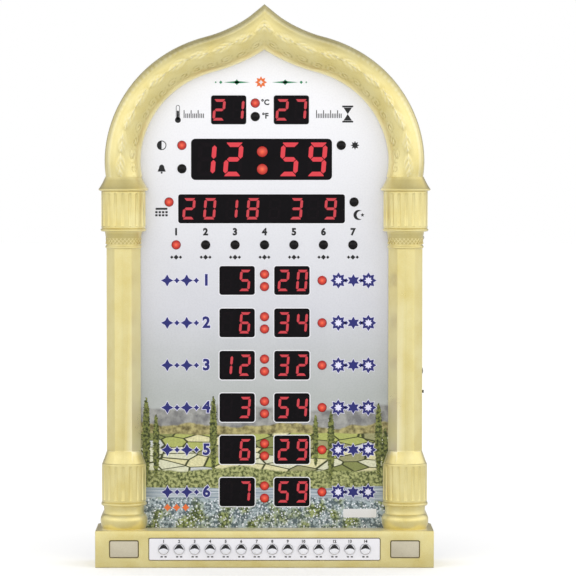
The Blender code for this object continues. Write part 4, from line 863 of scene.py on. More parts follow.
class FaceSettings(bpy.types.PropertyGroup):
    """Sizes and colours of the printed face and its displays."""

    high_sky: colour_property("High sky", "Silver tone at the top of the face", (233, 233, 236))
    low_sky: colour_property("Low sky", "Blue grey tone lower down", (195, 196, 202))
    haze: colour_property("Haze", "Tone above the hills", (166, 170, 168))
    ink: colour_property("Ink", "Black of the printed marks", (14, 14, 18))
    navy: colour_property("Row mark", "Dark blue of the marks beside the rows", (26, 30, 112))
    lit: colour_property("Lit digit", "Colour of a lit segment of the time", (216, 44, 58))
    lit_small: colour_property("Lit small digit", "Colour of a lit segment of the small displays", (204, 50, 62))
    unlit: colour_property("Display", "Colour of the displays' dark face", (15, 12, 16))
    lilac: colour_property("Halo", "Pale tone round the dark blue marks", (226, 224, 246))
    orange: colour_property("Orange", "Colour of the small bright marks", (232, 112, 44))
    green: colour_property("Green", "Colour of the lines at the top", (36, 138, 92))
    outline_width: length_property("Window outline", "Width of the white line round each window", 0.0006)
    time_corner: length_property("Time window corner", "Corner radius of the time window", 0.0031)
    row_corner: length_property("Row window corner", "Corner radius of the other windows", 0.0018)


class FittingSettings(bpy.types.PropertyGroup):
    """Sizes and colours of the back cover and the small fittings."""

    light_charcoal: colour_property("Charcoal", "Lighter tone of the black plastics", (54, 54, 56))
    dark_charcoal: colour_property("Deep charcoal", "Darker tone of the black plastics", (36, 36, 38))
    steel: colour_property("Steel", "Bright metal of the screws and the cell", (206, 206, 204))
    board_green: colour_property("Board", "Lacquer of the circuit boards", (30, 92, 52))
    slider_travel: length_property("Slider travel", "Way of the slide switch in its slot", 0.002)
    rib_depth: length_property("Rib depth", "Depth of the grooves in the slider's grip", 0.0003)
    probe_radius: length_property("Probe radius", "Radius of the temperature probe", 0.0015)
    knurl_depth: length_property("Knurl depth", "Depth of the wheel's knurls", 0.0003)
    knurl_count: bpy.props.IntProperty(name="Knurls", description="Knurls round the wheel", min=6, default=36)
    cover_inset: length_property("Cover inset", "From the case's outline to the cover's edge", 0.0004)
    cover_edge: length_property("Cover edge", "Radius of the cover's rear edges", 0.0006)
    vent_radius: length_property("Vent radius", "Radius of each hole in front of the speaker", 0.002)
    vent_pitch: length_property("Vent pitch", "Distance between the holes", 0.0075)
    key_slot: length_property("Keyhole slot", "Radius of the keyholes' slots", 0.0023)
    key_head: length_property("Keyhole head", "Radius of the keyholes' round parts", 0.0042)


class StageSettings(bpy.types.PropertyGroup):
    """Camera and studio."""

    distance: length_property("Camera distance", "From the camera to the middle of the clock", 2.5)
    height: length_property("Camera height", "Above the floor", 0.325)
    aim_height: length_property("Aim height", "Height of the point that the camera looks at", 0.198)
    lens: bpy.props.FloatProperty(name="Lens", description="Focal length in millimetres", min=1, default=219.0)
    shift: bpy.props.FloatProperty(name="Shift", description="Sideways shift of the picture", default=0.0408)
    lamp_power: bpy.props.FloatProperty(name="Lamps", description="Power of the large lamps", min=0, default=3.5)
    room_light: bpy.props.FloatProperty(name="Room", description="Strength of the room's light", min=0, default=1.1)
    floor_colour: colour_property("Floor", "Colour of the floor", (251, 251, 251))


# ---------------------------------------------------------------- the case


def neck_radius(height):
    """Radius of the capital's neck at a height."""
    share = (height - BEAD_TOP) / (NECK_TOP - BEAD_TOP)
    return 0.0121 + 0.0012 * share**1.6


def turned_half(name, profile, side, flutes=(), bars=()):
    """Half a turned form, hollow, with straight backs: a profile of (radius, height) about a column's axis.

    Flutes are (lowest, highest) points of the drum's grooves. Bars are the leans of the neck's raised bars.
    """
    look = bpy.context.scene.clock_case
    x = side * COLUMN_X
    outline = [*profile, (CORE_RADIUS, profile[-1][1]), (CORE_RADIUS, profile[0][1])]
    piece = draw(name, [(x + side * radius, MOULDING_Y, z) for radius, z in outline])
    axis_place = (x, MOULDING_Y, 0)
    with editing(piece):
        bpy.ops.mesh.select_all(action="SELECT")
        bpy.ops.mesh.spin(steps=HALF_TURN_STEPS, angle=side * math.pi, center=axis_place, axis=(0, 0, 1))
    face_outwards(piece)
    for low, high in flutes:
        rod = look.flute_radius
        reach = DRUM_RADIUS - look.flute_depth + rod
        profile = arc((0, low + rod), (rod, rod), -90, 0, 5) + arc((0, high - rod), (rod, rod), 0, 90, 5)
        cutter = turned_upright("flute_cutter", profile, x, MOULDING_Y - reach)
        fan_out(cutter, axis_place, look.flute_count, look.flute_pitch)
        combine(piece, cutter, "DIFFERENCE")
    for lean in bars:
        low, high = look.band_low, look.band_high
        front_y = MOULDING_Y - neck_radius((low + high) / 2) - look.band_rise - lean * 0.00002
        slope = (high - low) / 2
        half_bar = look.bar_width / 2
        outline = [
            (x - slope * lean - half_bar, low), (x - slope * lean + half_bar, low),
            (x + slope * lean + half_bar, high), (x + slope * lean - half_bar, high),
        ]
        bar = plate("band_bar", outline, front_y, front_y + 0.0011)
        fan_out(bar, axis_place, look.bar_count, look.bar_pitch)
        combine(piece, bar, "UNION")
    with editing(piece, "FACE"):
        bpy.ops.mesh.select_all(action="SELECT")
        bpy.ops.transform.resize(value=(1, FLATTENING, 1), center_override=axis_place)
        for outwards, depth in ((True, RIM_Y - MOULDING_Y), (False, LIP_Y - MOULDING_Y)):
            pick(
                piece,
                lambda middle: abs(middle.y - MOULDING_Y) < 1e-6 and ((middle.x - x) * side > 0) == outwards,
            )
            extrude((0, depth, 0))
    face_outwards(piece)
    return piece


def faceted_section(radius):
    """(outward, y) points round the hollow, faceted shaft."""
    section = [(radius, RIM_Y)]
    for angle in (0, *RIDGE_ANGLES, 180):
        turn = math.radians(angle)
        section.append((radius * math.cos(turn), MOULDING_Y - FLATTENING * radius * math.sin(turn)))
    section += [(-radius, LIP_Y), (WALL - SHAFT_RADIUS, LIP_Y)]
    for step in range(13):
        turn = math.pi * (1 - step / 12)
        core = CORE_RADIUS - 0.0006 * math.sin(turn)
        section.append((core * math.cos(turn), MOULDING_Y - FLATTENING * core * math.sin(turn)))
    section.append((CORE_RADIUS, RIM_Y))
    return section


def shaft_form(side):
    """The faceted shaft, which flares at its foot, with soft ridges between its facets."""
    x = side * COLUMN_X
    levels = (
        (PEDESTAL_DRUM[1] + 0.0003, DRUM_RADIUS - 0.0004),
        (PEDESTAL_TOP, SHAFT_RADIUS),
        (PEDESTAL_TOP + 0.001, SHAFT_RADIUS),
        (CAPITAL_BASE + 0.001, SHAFT_RADIUS),
    )
    loops = [
        draw("shaft", [(x + side * out, y, z) for out, y in faceted_section(radius)], filled=False, closed=True)
        for z, radius in levels
    ]
    piece = join("shaft", loops)
    with editing(piece, "EDGE"):
        for (low, radius), (high, upper_radius) in zip(levels, levels[1:]):
            pick_edges(
                piece,
                lambda first, second: all(
                    min(abs(end.z - low), abs(end.z - high)) < SEED / 2 for end in (first, second)
                )
                and abs(first.z - second.z) < SEED / 2,
            )
            bpy.ops.mesh.bridge_edge_loops()
        for level, radius in (levels[0], levels[-1]):
            pick_edges(piece, lambda first, second: max(abs(first.z - level), abs(second.z - level)) < SEED / 2)
            bpy.ops.mesh.edge_face_add()

        def is_ridge(first, second):
            return abs(first.z - second.z) > 0.0005 and all(
                math.hypot(end.x - x, (end.y - MOULDING_Y) / FLATTENING) > SHAFT_RADIUS - 0.0002
                and end.y < MOULDING_Y - 0.004
                for end in (first, second)
            )

        pick_edges(piece, is_ridge)
        bpy.ops.mesh.bevel(offset=0.0003, segments=3, affect="EDGES")
    face_outwards(piece)
    return piece


def drum_profile(before, low, high, after):
    """(radius, height) up a fluted drum with soft edges, from the point below it to the point above it.

    A loop inside each edge keeps the light even between the flutes.
    """
    middle = (DRUM_RADIUS, (low + high) / 2)
    foot = softened([before, (DRUM_RADIUS, low + 0.0002), middle], 0.0005)[:-1]
    head = softened([middle, (DRUM_RADIUS, high), after], 0.0005)[1:]
    return [*foot, (DRUM_RADIUS, low + 0.0006), (DRUM_RADIUS, high - 0.0005), *head]


def pedestal_profile():
    """(radius, height) from the plinth up to the shaft."""
    low_ring, high_ring = PEDESTAL_RING
    profile = [(0.0154, PLINTH_TOP - FOOT_SINK)]
    profile += arc((0.0122, 0.0329), (0.0046, 0.0086), -44, 0, 8)
    profile += arc((0.0122, 0.0329), (0.0046, 0.0051), 8, 60, 6)
    profile += softened([(WAIST_RADIUS, 0.0369), (WAIST_RADIUS - 0.0003, 0.0398), (WAIST_RADIUS, low_ring)], 0.0025)
    ring_middle = (low_ring + high_ring) / 2
    profile += arc((0.0149, ring_middle), (0.0014, 0.0013), -75, 75, 8)
    low, high = PEDESTAL_DRUM
    profile += drum_profile((0.0151, low), low, high, (0.0149, high + 0.0006))
    profile += softened([(0.0148, high + 0.0009), (0.0137, high + 0.004), (SHAFT_RADIUS, PEDESTAL_TOP)], 0.003)
    return profile


def capital_profile():
    """(radius, height) from the shaft up to the arch."""
    bead_middle = (CAPITAL_BASE + BEAD_TOP) / 2
    profile = [(SHAFT_RADIUS - 0.0004, CAPITAL_BASE)]
    profile += arc((0.0118, bead_middle), (0.0011, 0.0012), -70, 70, 8)
    neck_levels = [BEAD_TOP + (NECK_TOP - BEAD_TOP) * step / 6 for step in range(7)]
    profile += [(neck_radius(level), level) for level in neck_levels]
    ring_middle = (NECK_TOP + CAPITAL_DRUM[0]) / 2
    profile += arc((0.0149, ring_middle), (0.0014, 0.0011), -75, 75, 8)
    low, high = CAPITAL_DRUM
    profile += drum_profile((0.0151, low), low, high - 0.0002, (0.0153, high))
    lip = [(0.0168, high + 0.0002), (FLARE_RADIUS, high + 0.0008), (FLARE_RADIUS, CAPITAL_LIP - 0.0003)]
    profile += softened([*lip, (FLARE_RADIUS - 0.0003, CAPITAL_LIP)], 0.0004)
    profile += softened(
        [(0.0172, CAPITAL_LIP + 0.0002), (0.0148, CAPITAL_LIP + 0.0042), (ARCH_RADIUS, SPRING_Z)], 0.003
    )
    return profile


def box_cutter(name, low, high):
    """A cutter between two corners."""
    deselect_all()
    low, high = Vector(low), Vector(high)
    bpy.ops.mesh.primitive_cube_add(size=1, location=(low + high) / 2, scale=high - low)
    cutter = bpy.context.object
    cutter.name = name
    place_in_mesh(cutter)
    return cutter


class CLOCK_OT_columns(bpy.types.Operator):
    """Builds the two columns with their pedestals and capitals"""

    bl_idname = "clock.columns"
    bl_label = "Columns"

    def execute(self, context):
        look = context.scene.clock_fittings
        for side, name in ((-1, "left_column"), (1, "right_column")):
            low, high = PEDESTAL_DRUM
            pedestal = turned_half("pedestal", pedestal_profile(), side, flutes=[(low + 0.0007, high - 0.0006)])
            shaft = shaft_form(side)
            low, high = CAPITAL_DRUM
            flutes = [(low + 0.0007, high - 0.0006)]
            capital = turned_half("capital", capital_profile(), side, flutes=flutes, bars=(-1, 1))
            if side > 0:
                *slots, probe_hole = self.openings(look)
                combine(shaft, join("slots", slots), "DIFFERENCE")
                combine(capital, probe_hole, "DIFFERENCE")
            column = join(name, [pedestal, shaft, capital])
            finish_piece(column, name, gold_material(), replaces=["front_case"])
            self.shade_hollows(column)
        return {"FINISHED"}

    def openings(self, look):
        """Cutters of the wheel's slot, the slider's slot with its travel, and the probe's hole."""
        for node, travel in (("volume_wheel", 0), ("mode_switch_slider", look.slider_travel)):
            low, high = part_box(node)
            room = Vector((FIT, FIT, FIT))
            yield box_cutter("slot", low - room, high + room + Vector((0, 0, travel)))
        middle = node_middle("temperature_probe")
        profile = [(0, 0.105), (look.probe_radius + FIT, 0.105), (look.probe_radius + FIT, 0.12), (0, 0.12)]
        yield turned_sideways("probe_hole", profile, middle.y, middle.z)

    def shade_hollows(self, column):
        """Stores painted shade and highlight for the gold: painted shade on the shaft's middle facets, on the neck's
        ground and on the capital's sloping top, where it also stands partly for a deeper paint tone.

        A painted highlight on the neck's raised bars and on the shaft's facet beside the face.
        """
        relief = column.data.attributes.new("relief", "FLOAT", "POINT")
        for vertex in column.data.vertices:
            x, y, z = vertex.co
            reach = math.hypot(abs(x) - COLUMN_X, (y - MOULDING_Y) / FLATTENING)
            value = 0.0
            if BEAD_TOP + 0.0004 < z < NECK_TOP - 0.0003:
                value = 0.3 if reach > neck_radius(z) + 0.00015 else -0.35
            elif CAPITAL_LIP + 0.0001 < z < SPRING_Z - SEED:
                value = -0.35
            elif PEDESTAL_TOP - SEED < z < CAPITAL_BASE + SEED:
                turn = math.degrees(math.atan2(max(0.0, MOULDING_Y - y), abs(x) - COLUMN_X))
                value = 0.9 if turn > RIDGE_ANGLES[-1] else -0.2 if turn > RIDGE_ANGLES[0] else 0.0
            relief.data[vertex.index].value = value


def ornament(length, angle):
    """Height of the arch's relief, from -1 to 1, at a length along it in millimetres and an angle round it.

    From the outer edge: a row of beads, a smooth strip, a chain of leaves and a row of scrolls.
    """
    bead_middle, bead_half = 42.0, 9.0
    if abs(angle - bead_middle) < bead_half:
        pitch = 3.6
        along = (length / pitch) % 1 - 0.5
        across = (angle - bead_middle) / bead_half
        distance = math.hypot(along * 2, across)
        return 0.9 * math.sqrt(max(0.0, 1 - distance**2)) - 0.3 * max(0.0, 1 - abs(across))
    leaf_middle, leaf_half = 84.0, 19.0
    if abs(angle - leaf_middle) < leaf_half:
        pitch = 17.0
        turn = math.floor(length / pitch)
        along = (length / pitch) % 1
        across = (angle - leaf_middle) / leaf_half
        width = math.sin(math.pi * min(1.0, along * 1.08)) ** 0.8 * 0.85 if along < 0.92 else 0.0
        centre = 0.12 * math.sin(math.tau * along) * (1 if turn % 2 else -1)
        offset = across - centre
        if width > 0 and abs(offset) < width:
            edge = 1 - (abs(offset) / width) ** 2
            vein = 0.5 + 0.5 * math.cos(math.tau * (along * 6 - abs(offset) * 1.6))
            rib = math.exp(-((offset / 0.07) ** 2))
            return 0.7 * math.sqrt(edge) - 0.95 * vein * edge + 0.6 * rib
        return -0.25 * max(0.0, 1 - abs(across))
    scroll_middle, scroll_half = 127.0, 15.0
    if abs(angle - scroll_middle) < scroll_half:
        pitch = 11.0
        along = (length / pitch) % 1 - 0.5
        across = (angle - scroll_middle) / scroll_half
        flip = 1 if math.floor(length / pitch) % 2 else -1
        across *= flip
        distance = math.hypot(along * 2, across + 0.15)
        swirl = math.atan2(across + 0.15, along * 2)
        ring = math.cos(math.tau * (distance * 1.7 - swirl / math.tau))
        fade = max(0.0, 1 - distance**2) ** 0.4
        return 0.6 * ring * fade * max(0.0, 1 - abs(across)) ** 0.25
    return 0.0


class CLOCK_OT_arch(bpy.types.Operator):
    """Builds the arched moulding with its raised ornament"""

    bl_idname = "clock.arch"
    bl_label = "Arch"

    section_steps: bpy.props.IntProperty(name="Section steps", description="Faces round the front", default=84)
    length_steps: bpy.props.IntProperty(name="Length steps", description="Faces along one half", default=360)

    def execute(self, context):
        look = context.scene.clock_case
        line = arch_line()
        lead = 0.006
        start = line[0] - (line[1] - line[0]).normalized() * lead
        end = line[-1] + (line[-1] - line[-2]).normalized() * 0.013
        path = [start, *line, end]
        length = sum((after - before).length for before, after in zip(path, path[1:]))

        # The section, drawn at one end, with its front in fine steps
        radius = ARCH_RADIUS
        section = [(radius, -RIM_Y)]
        for step in range(self.section_steps + 1):
            turn = math.pi * step / self.section_steps
            section.append((radius * math.cos(turn), -MOULDING_Y + FLATTENING * radius * math.sin(turn)))
        section += [(-radius, -LIP_Y), (WALL - radius, -LIP_Y)]
        for step in range(13):
            turn = math.pi * (1 - step / 12)
            section.append(
                ((radius - WALL) * math.cos(turn), -MOULDING_Y + FLATTENING * (radius - WALL) * math.sin(turn))
            )
        section.append((radius - WALL, -RIM_Y))
        arch = draw("arch", [(0, out, up) for out, up in section])
        with editing(arch, "EDGE"):
            bpy.ops.mesh.select_all(action="SELECT")
            extrude((length, 0, 0))
            pick_edges(arch, lambda first, second: abs(first.x - second.x) > length / 2)
            bpy.ops.mesh.subdivide(number_cuts=self.length_steps - 1)
        face_outwards(arch)

        # Relief: raised while the moulding is straight, then bent along the arch
        heights = []
        for vertex in arch.data.vertices:
            out, up = vertex.co.y, vertex.co.z + MOULDING_Y
            on_front = up > 0 and abs(math.hypot(out, up / FLATTENING) - radius) < 1e-5
            angle = math.degrees(math.atan2(up / FLATTENING, out))
            heights.append(ornament((vertex.co.x - lead) * 1000, angle) if on_front else 0.0)
        for name, sign in (("raised", 1), ("sunk", -1)):
            group = arch.vertex_groups.new(name=name)
            for index, height in enumerate(heights):
                if height * sign > 0:
                    group.add([index], min(1.0, height * sign), "REPLACE")
            apply_modifier(
                arch,
                "DISPLACE",
                vertex_group=name,
                strength=look.relief_height * sign,
                mid_level=0.0,
                direction="NORMAL",
            )
        arch.vertex_groups.clear()
        # The heights also feed the gold's colour: painted shade in the ornament's hollows and a painted highlight on
        # its crests.
        relief = arch.data.attributes.new("relief", "FLOAT", "POINT")
        relief.data.foreach_set("value", heights)
        activate(arch)
        curve = bpy.data.curves.new("arch_path", "CURVE")
        curve.dimensions = "2D"
        spline = curve.splines.new("POLY")
        spline.points.add(len(path) - 1)
        for point, place in zip(spline.points, path):
            point.co = (place.x, place.y, 0, 1)
        guide = bpy.data.objects.new("arch_path", curve)
        context.scene.collection.objects.link(guide)
        apply_modifier(arch, "CURVE", object=guide, deform_axis="POS_X")
        bpy.data.objects.remove(guide)
        activate(arch)
        bpy.ops.transform.rotate(value=math.pi / 2, orient_axis="X", center_override=(0, 0, 0))
        place_in_mesh(arch)
        if min(vertex.co.z for vertex in arch.data.vertices) < 0:
            bpy.ops.transform.rotate(value=math.pi, orient_axis="X", center_override=(0, 0, 0))
            place_in_mesh(arch)
        with editing(arch):
            bpy.ops.mesh.select_all(action="SELECT")
            bpy.ops.mesh.bisect(
                plane_co=(0, 0, SPRING_Z), plane_no=(0, 0, 1), clear_inner=True, use_fill=True, threshold=1e-6
            )
            bpy.ops.mesh.select_all(action="SELECT")
            bpy.ops.mesh.bisect(plane_co=(0, 0, 0), plane_no=(1, 0, 0), clear_outer=True, threshold=1e-6)
        apply_modifier(arch, "MIRROR", use_mirror_merge=True, merge_threshold=MERGE_DISTANCE)
        face_outwards(arch)
        finish_piece(arch, "arch_moulding", gold_material(), replaces=["front_case"])
        return {"FINISHED"}


class CLOCK_OT_plinth(bpy.types.Operator):
    """Builds the hollow plinth with its recesses and key holes"""

    bl_idname = "clock.plinth"
    bl_label = "Plinth"

    def execute(self, context):
        look = context.scene.clock_case
        half = PLINTH_HALF_WIDTH
        deselect_all()
        plinth = box_cutter("plinth", (-half, FRONT_Y, 0), (half, RIM_Y, PLINTH_TOP))
        with editing(plinth, "EDGE"):
            pick_edges(
                plinth,
                lambda first, second: first.y < 0 and second.y < 0
                or (abs(first.y - second.y) > 0.01 and first.z > 0.01),
            )
            bpy.ops.mesh.bevel(offset=look.plinth_round, segments=4, affect="EDGES")
        inside = box_cutter(
            "inside", (-half + WALL, FRONT_Y + WALL, WALL), (half - WALL, RIM_Y + CUT_MARGIN, PLINTH_TOP - WALL)
        )
        combine(plinth, inside, "DIFFERENCE")
        well_x = COLUMN_X + SHAFT_RADIUS - WALL
        well = box_cutter("well", (-well_x, LIP_Y, PLINTH_TOP - 0.003), (well_x, RIM_Y + CUT_MARGIN, 0.04))
        combine(plinth, well, "DIFFERENCE")
        label_low, label_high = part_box("key_label")
        recesses = [
            plate(
                "label_recess",
                rounded_rectangle(
                    0, KEY_Z, label_high.x - label_low.x + 2 * FIT, label_high.z - label_low.z + 2 * FIT, 0.0012
                ),
                FRONT_Y - CUT_MARGIN,
                label_high.y + FIT,
            )
        ]
        openings = []
        for node in ("left_window", "right_window"):
            low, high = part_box(node)
            middle = (low + high) / 2
            width, height = high.x - low.x, high.z - low.z
            outline = rounded_rectangle(middle.x, middle.z, width + 2 * FIT, height + 2 * FIT, 0.0013)
            recesses.append(plate("window_recess", outline, FRONT_Y - CUT_MARGIN, high.y + FIT))
            opening = rounded_rectangle(middle.x, middle.z, width - 0.0034, height - 0.0034, 0.0009)
            openings.append(plate("window_opening", opening, FRONT_Y - CUT_MARGIN, FRONT_Y + WALL + CUT_MARGIN))
        for node in KEY_NODES:
            hole = circle(node_middle(node).x, KEY_Z, KEY_HOLE_RADIUS, 28)
            openings.append(plate("key_hole", hole, FRONT_Y - CUT_MARGIN, FRONT_Y + WALL + CUT_MARGIN))
        combine(plinth, join("recesses", recesses), "DIFFERENCE")
        combine(plinth, join("openings", openings), "DIFFERENCE")
        finish_piece(plinth, "plinth_housing", gold_material(), replaces=["front_case"])
        return {"FINISHED"}


# ---------------------------------------------------------------- the face


def window_boxes():
    """(node, x, z, width, height) of each display's window in the panel."""
    nodes = ["display_time", "display_date", "display_temperature", "display_countdown"]
    for row in ROWS:
        nodes += [f"row_{row}_hours", f"row_{row}_minutes"]
    boxes = []
    for node in nodes:
        low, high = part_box(node)
        middle = (low + high) / 2
        boxes.append((node, middle.x, middle.z, high.x - low.x + 2 * FIT, high.z - low.z + 2 * FIT))
    return boxes


def light_places():
    """Places (x, z) of the lights of each group, from its CAD node's box."""
    row_z = [node_middle(f"row_{row}_hours").z for row in ROWS]
    low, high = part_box("weekday_lights")
    weekday_z = (low.z + high.z) / 2
    first, last = low.x + LED_RADIUS, high.x - LED_RADIUS
    step = (last - first) / (WEEKDAY_COUNT - 1)
    colon_low, colon_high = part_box("colon_lights")
    colon_step = colon_high.z - LED_RADIUS - row_z[0]
    row_x = node_middle("row_lights").x
    unit_low, unit_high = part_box("unit_lights")
    unit_x = (unit_low.x + unit_high.x) / 2
    left_low, left_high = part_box("left_status_lights")
    right_low, right_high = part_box("right_status_lights")
    near_left, far_left = left_high.x - LED_RADIUS, left_low.x + LED_RADIUS
    near_right, far_right = right_low.x + LED_RADIUS, right_high.x - LED_RADIUS
    time_z = node_middle("display_time").z
    upper, lower, calendar = left_high.z - LED_RADIUS, time_z - 0.0067, left_low.z + LED_RADIUS
    return {
        "weekday_lights": [(first + step * day, weekday_z) for day in range(WEEKDAY_COUNT)],
        "colon_lights": [(0, z + side * colon_step) for z in row_z for side in (1, -1)],
        "row_lights": [(row_x, z) for z in row_z],
        "unit_lights": [(unit_x, unit_high.z - LED_RADIUS), (unit_x, unit_low.z + LED_RADIUS)],
        "left_status_lights": [(near_left, upper), (near_left, lower), (far_left, calendar)],
        "right_status_lights": [(near_right, upper), (far_right, calendar)],
    }


def corner_radius(node):
    look = bpy.context.scene.clock_face
    return look.time_corner if node == "display_time" else look.row_corner


def thin_print(outline, face_y=PANEL_FRONT_Y, thickness=0.00004):
    """A printed mark: a very thin plate on a face."""
    return plate("mark", outline, face_y - thickness, face_y + 0.00001)


def ring_plate(outline, width, front_y, back_y):
    """A flat ring just inside an outline, between two depths."""
    piece = draw("ring", [(x, front_y, z) for x, z in outline])
    with editing(piece, "FACE"):
        bpy.ops.mesh.select_all(action="SELECT")
        bpy.ops.mesh.inset(thickness=width, depth=0)
        bpy.ops.mesh.delete(type="FACE")
        bpy.ops.mesh.select_all(action="SELECT")
        extrude((0, back_y - front_y, 0))
    face_outwards(piece)
    return piece


def numeral(body, x, z, height, face_y=PANEL_FRONT_Y, weight=0.0, thickness=0.00004):
    """Plain figures or a unit's sign, printed on a face. The weight makes their strokes bolder."""
    deselect_all()
    place = (x, face_y - thickness / 2, z)
    bpy.ops.object.text_add(location=place, rotation=(math.pi / 2, 0, 0))
    text = bpy.context.object
    text.data.body = body
    text.data.size = height * 1.4
    text.data.align_x = text.data.align_y = "CENTER"
    text.data.extrude = thickness / 2
    text.data.offset = weight
    text.data.resolution_u = 3
    bpy.ops.object.convert(target="MESH")
    place_in_mesh(text)
    face_outwards(text)
    return text


def diamond(x, z, width, height):
    return [(x - width / 2, z), (x, z + height / 2), (x + width / 2, z), (x, z - height / 2)]


def bar(x, z, width, height):
    return rounded_rectangle(x, z, width, height, min(width, height) * 0.2, 2)


class CLOCK_OT_face(bpy.types.Operator):
    """Builds the printed face panel with its windows"""

    bl_idname = "clock.face"
    bl_label = "Face panel"

    def execute(self, context):
        look = context.scene.clock_face
        low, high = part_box("face_panel")
        inner = arch_offset(-(ARCH_RADIUS - PANEL_OVERLAP))
        outline = [(low.x, low.z), (low.x, SPRING_Z)]
        outline += [tuple(point) for point in inner if point.y > SPRING_Z + 0.001]
        outline += [(high.x, SPRING_Z), (high.x, low.z)]
        panel = plate("panel", outline, PANEL_FRONT_Y, PANEL_BACK_Y)
        front, back = PANEL_FRONT_Y - CUT_MARGIN, PANEL_BACK_Y + CUT_MARGIN
        cutters = [
            plate("window", rounded_rectangle(x, z, width, height, corner_radius(node)), front, back)
            for node, x, z, width, height in window_boxes()
        ]
        for places in light_places().values():
            cutters += [plate("hole", circle(x, z, LED_RADIUS + FIT), front, back) for x, z in places]
        combine(panel, join("windows", cutters), "DIFFERENCE")
        finish_piece(panel, "printed_face", panel_material(), replaces=["face_panel"])

        rings = []
        for node, x, z, width, height in window_boxes():
            room = 2 * look.outline_width
            outer = rounded_rectangle(
                x, z, width + room, height + room, corner_radius(node) + look.outline_width
            )
            rings.append(
                ring_plate(outer, look.outline_width * 0.96, PANEL_FRONT_Y - 0.00004, PANEL_FRONT_Y + 0.00001)
            )
        white = moulded_material(
            "white_ink", shade(228, 228, 232), shade(220, 220, 224), (0.3, 0.4), grain_share=0.5
        )
        finish_piece(join("rings", rings), "window_outlines", white)
        return {"FINISHED"}


def ink_material(name, colour):
    """Printing ink, a little uneven."""
    return moulded_material(name, colour, tuple(0.8 * value for value in colour), (0.3, 0.42), grain_share=0.6)


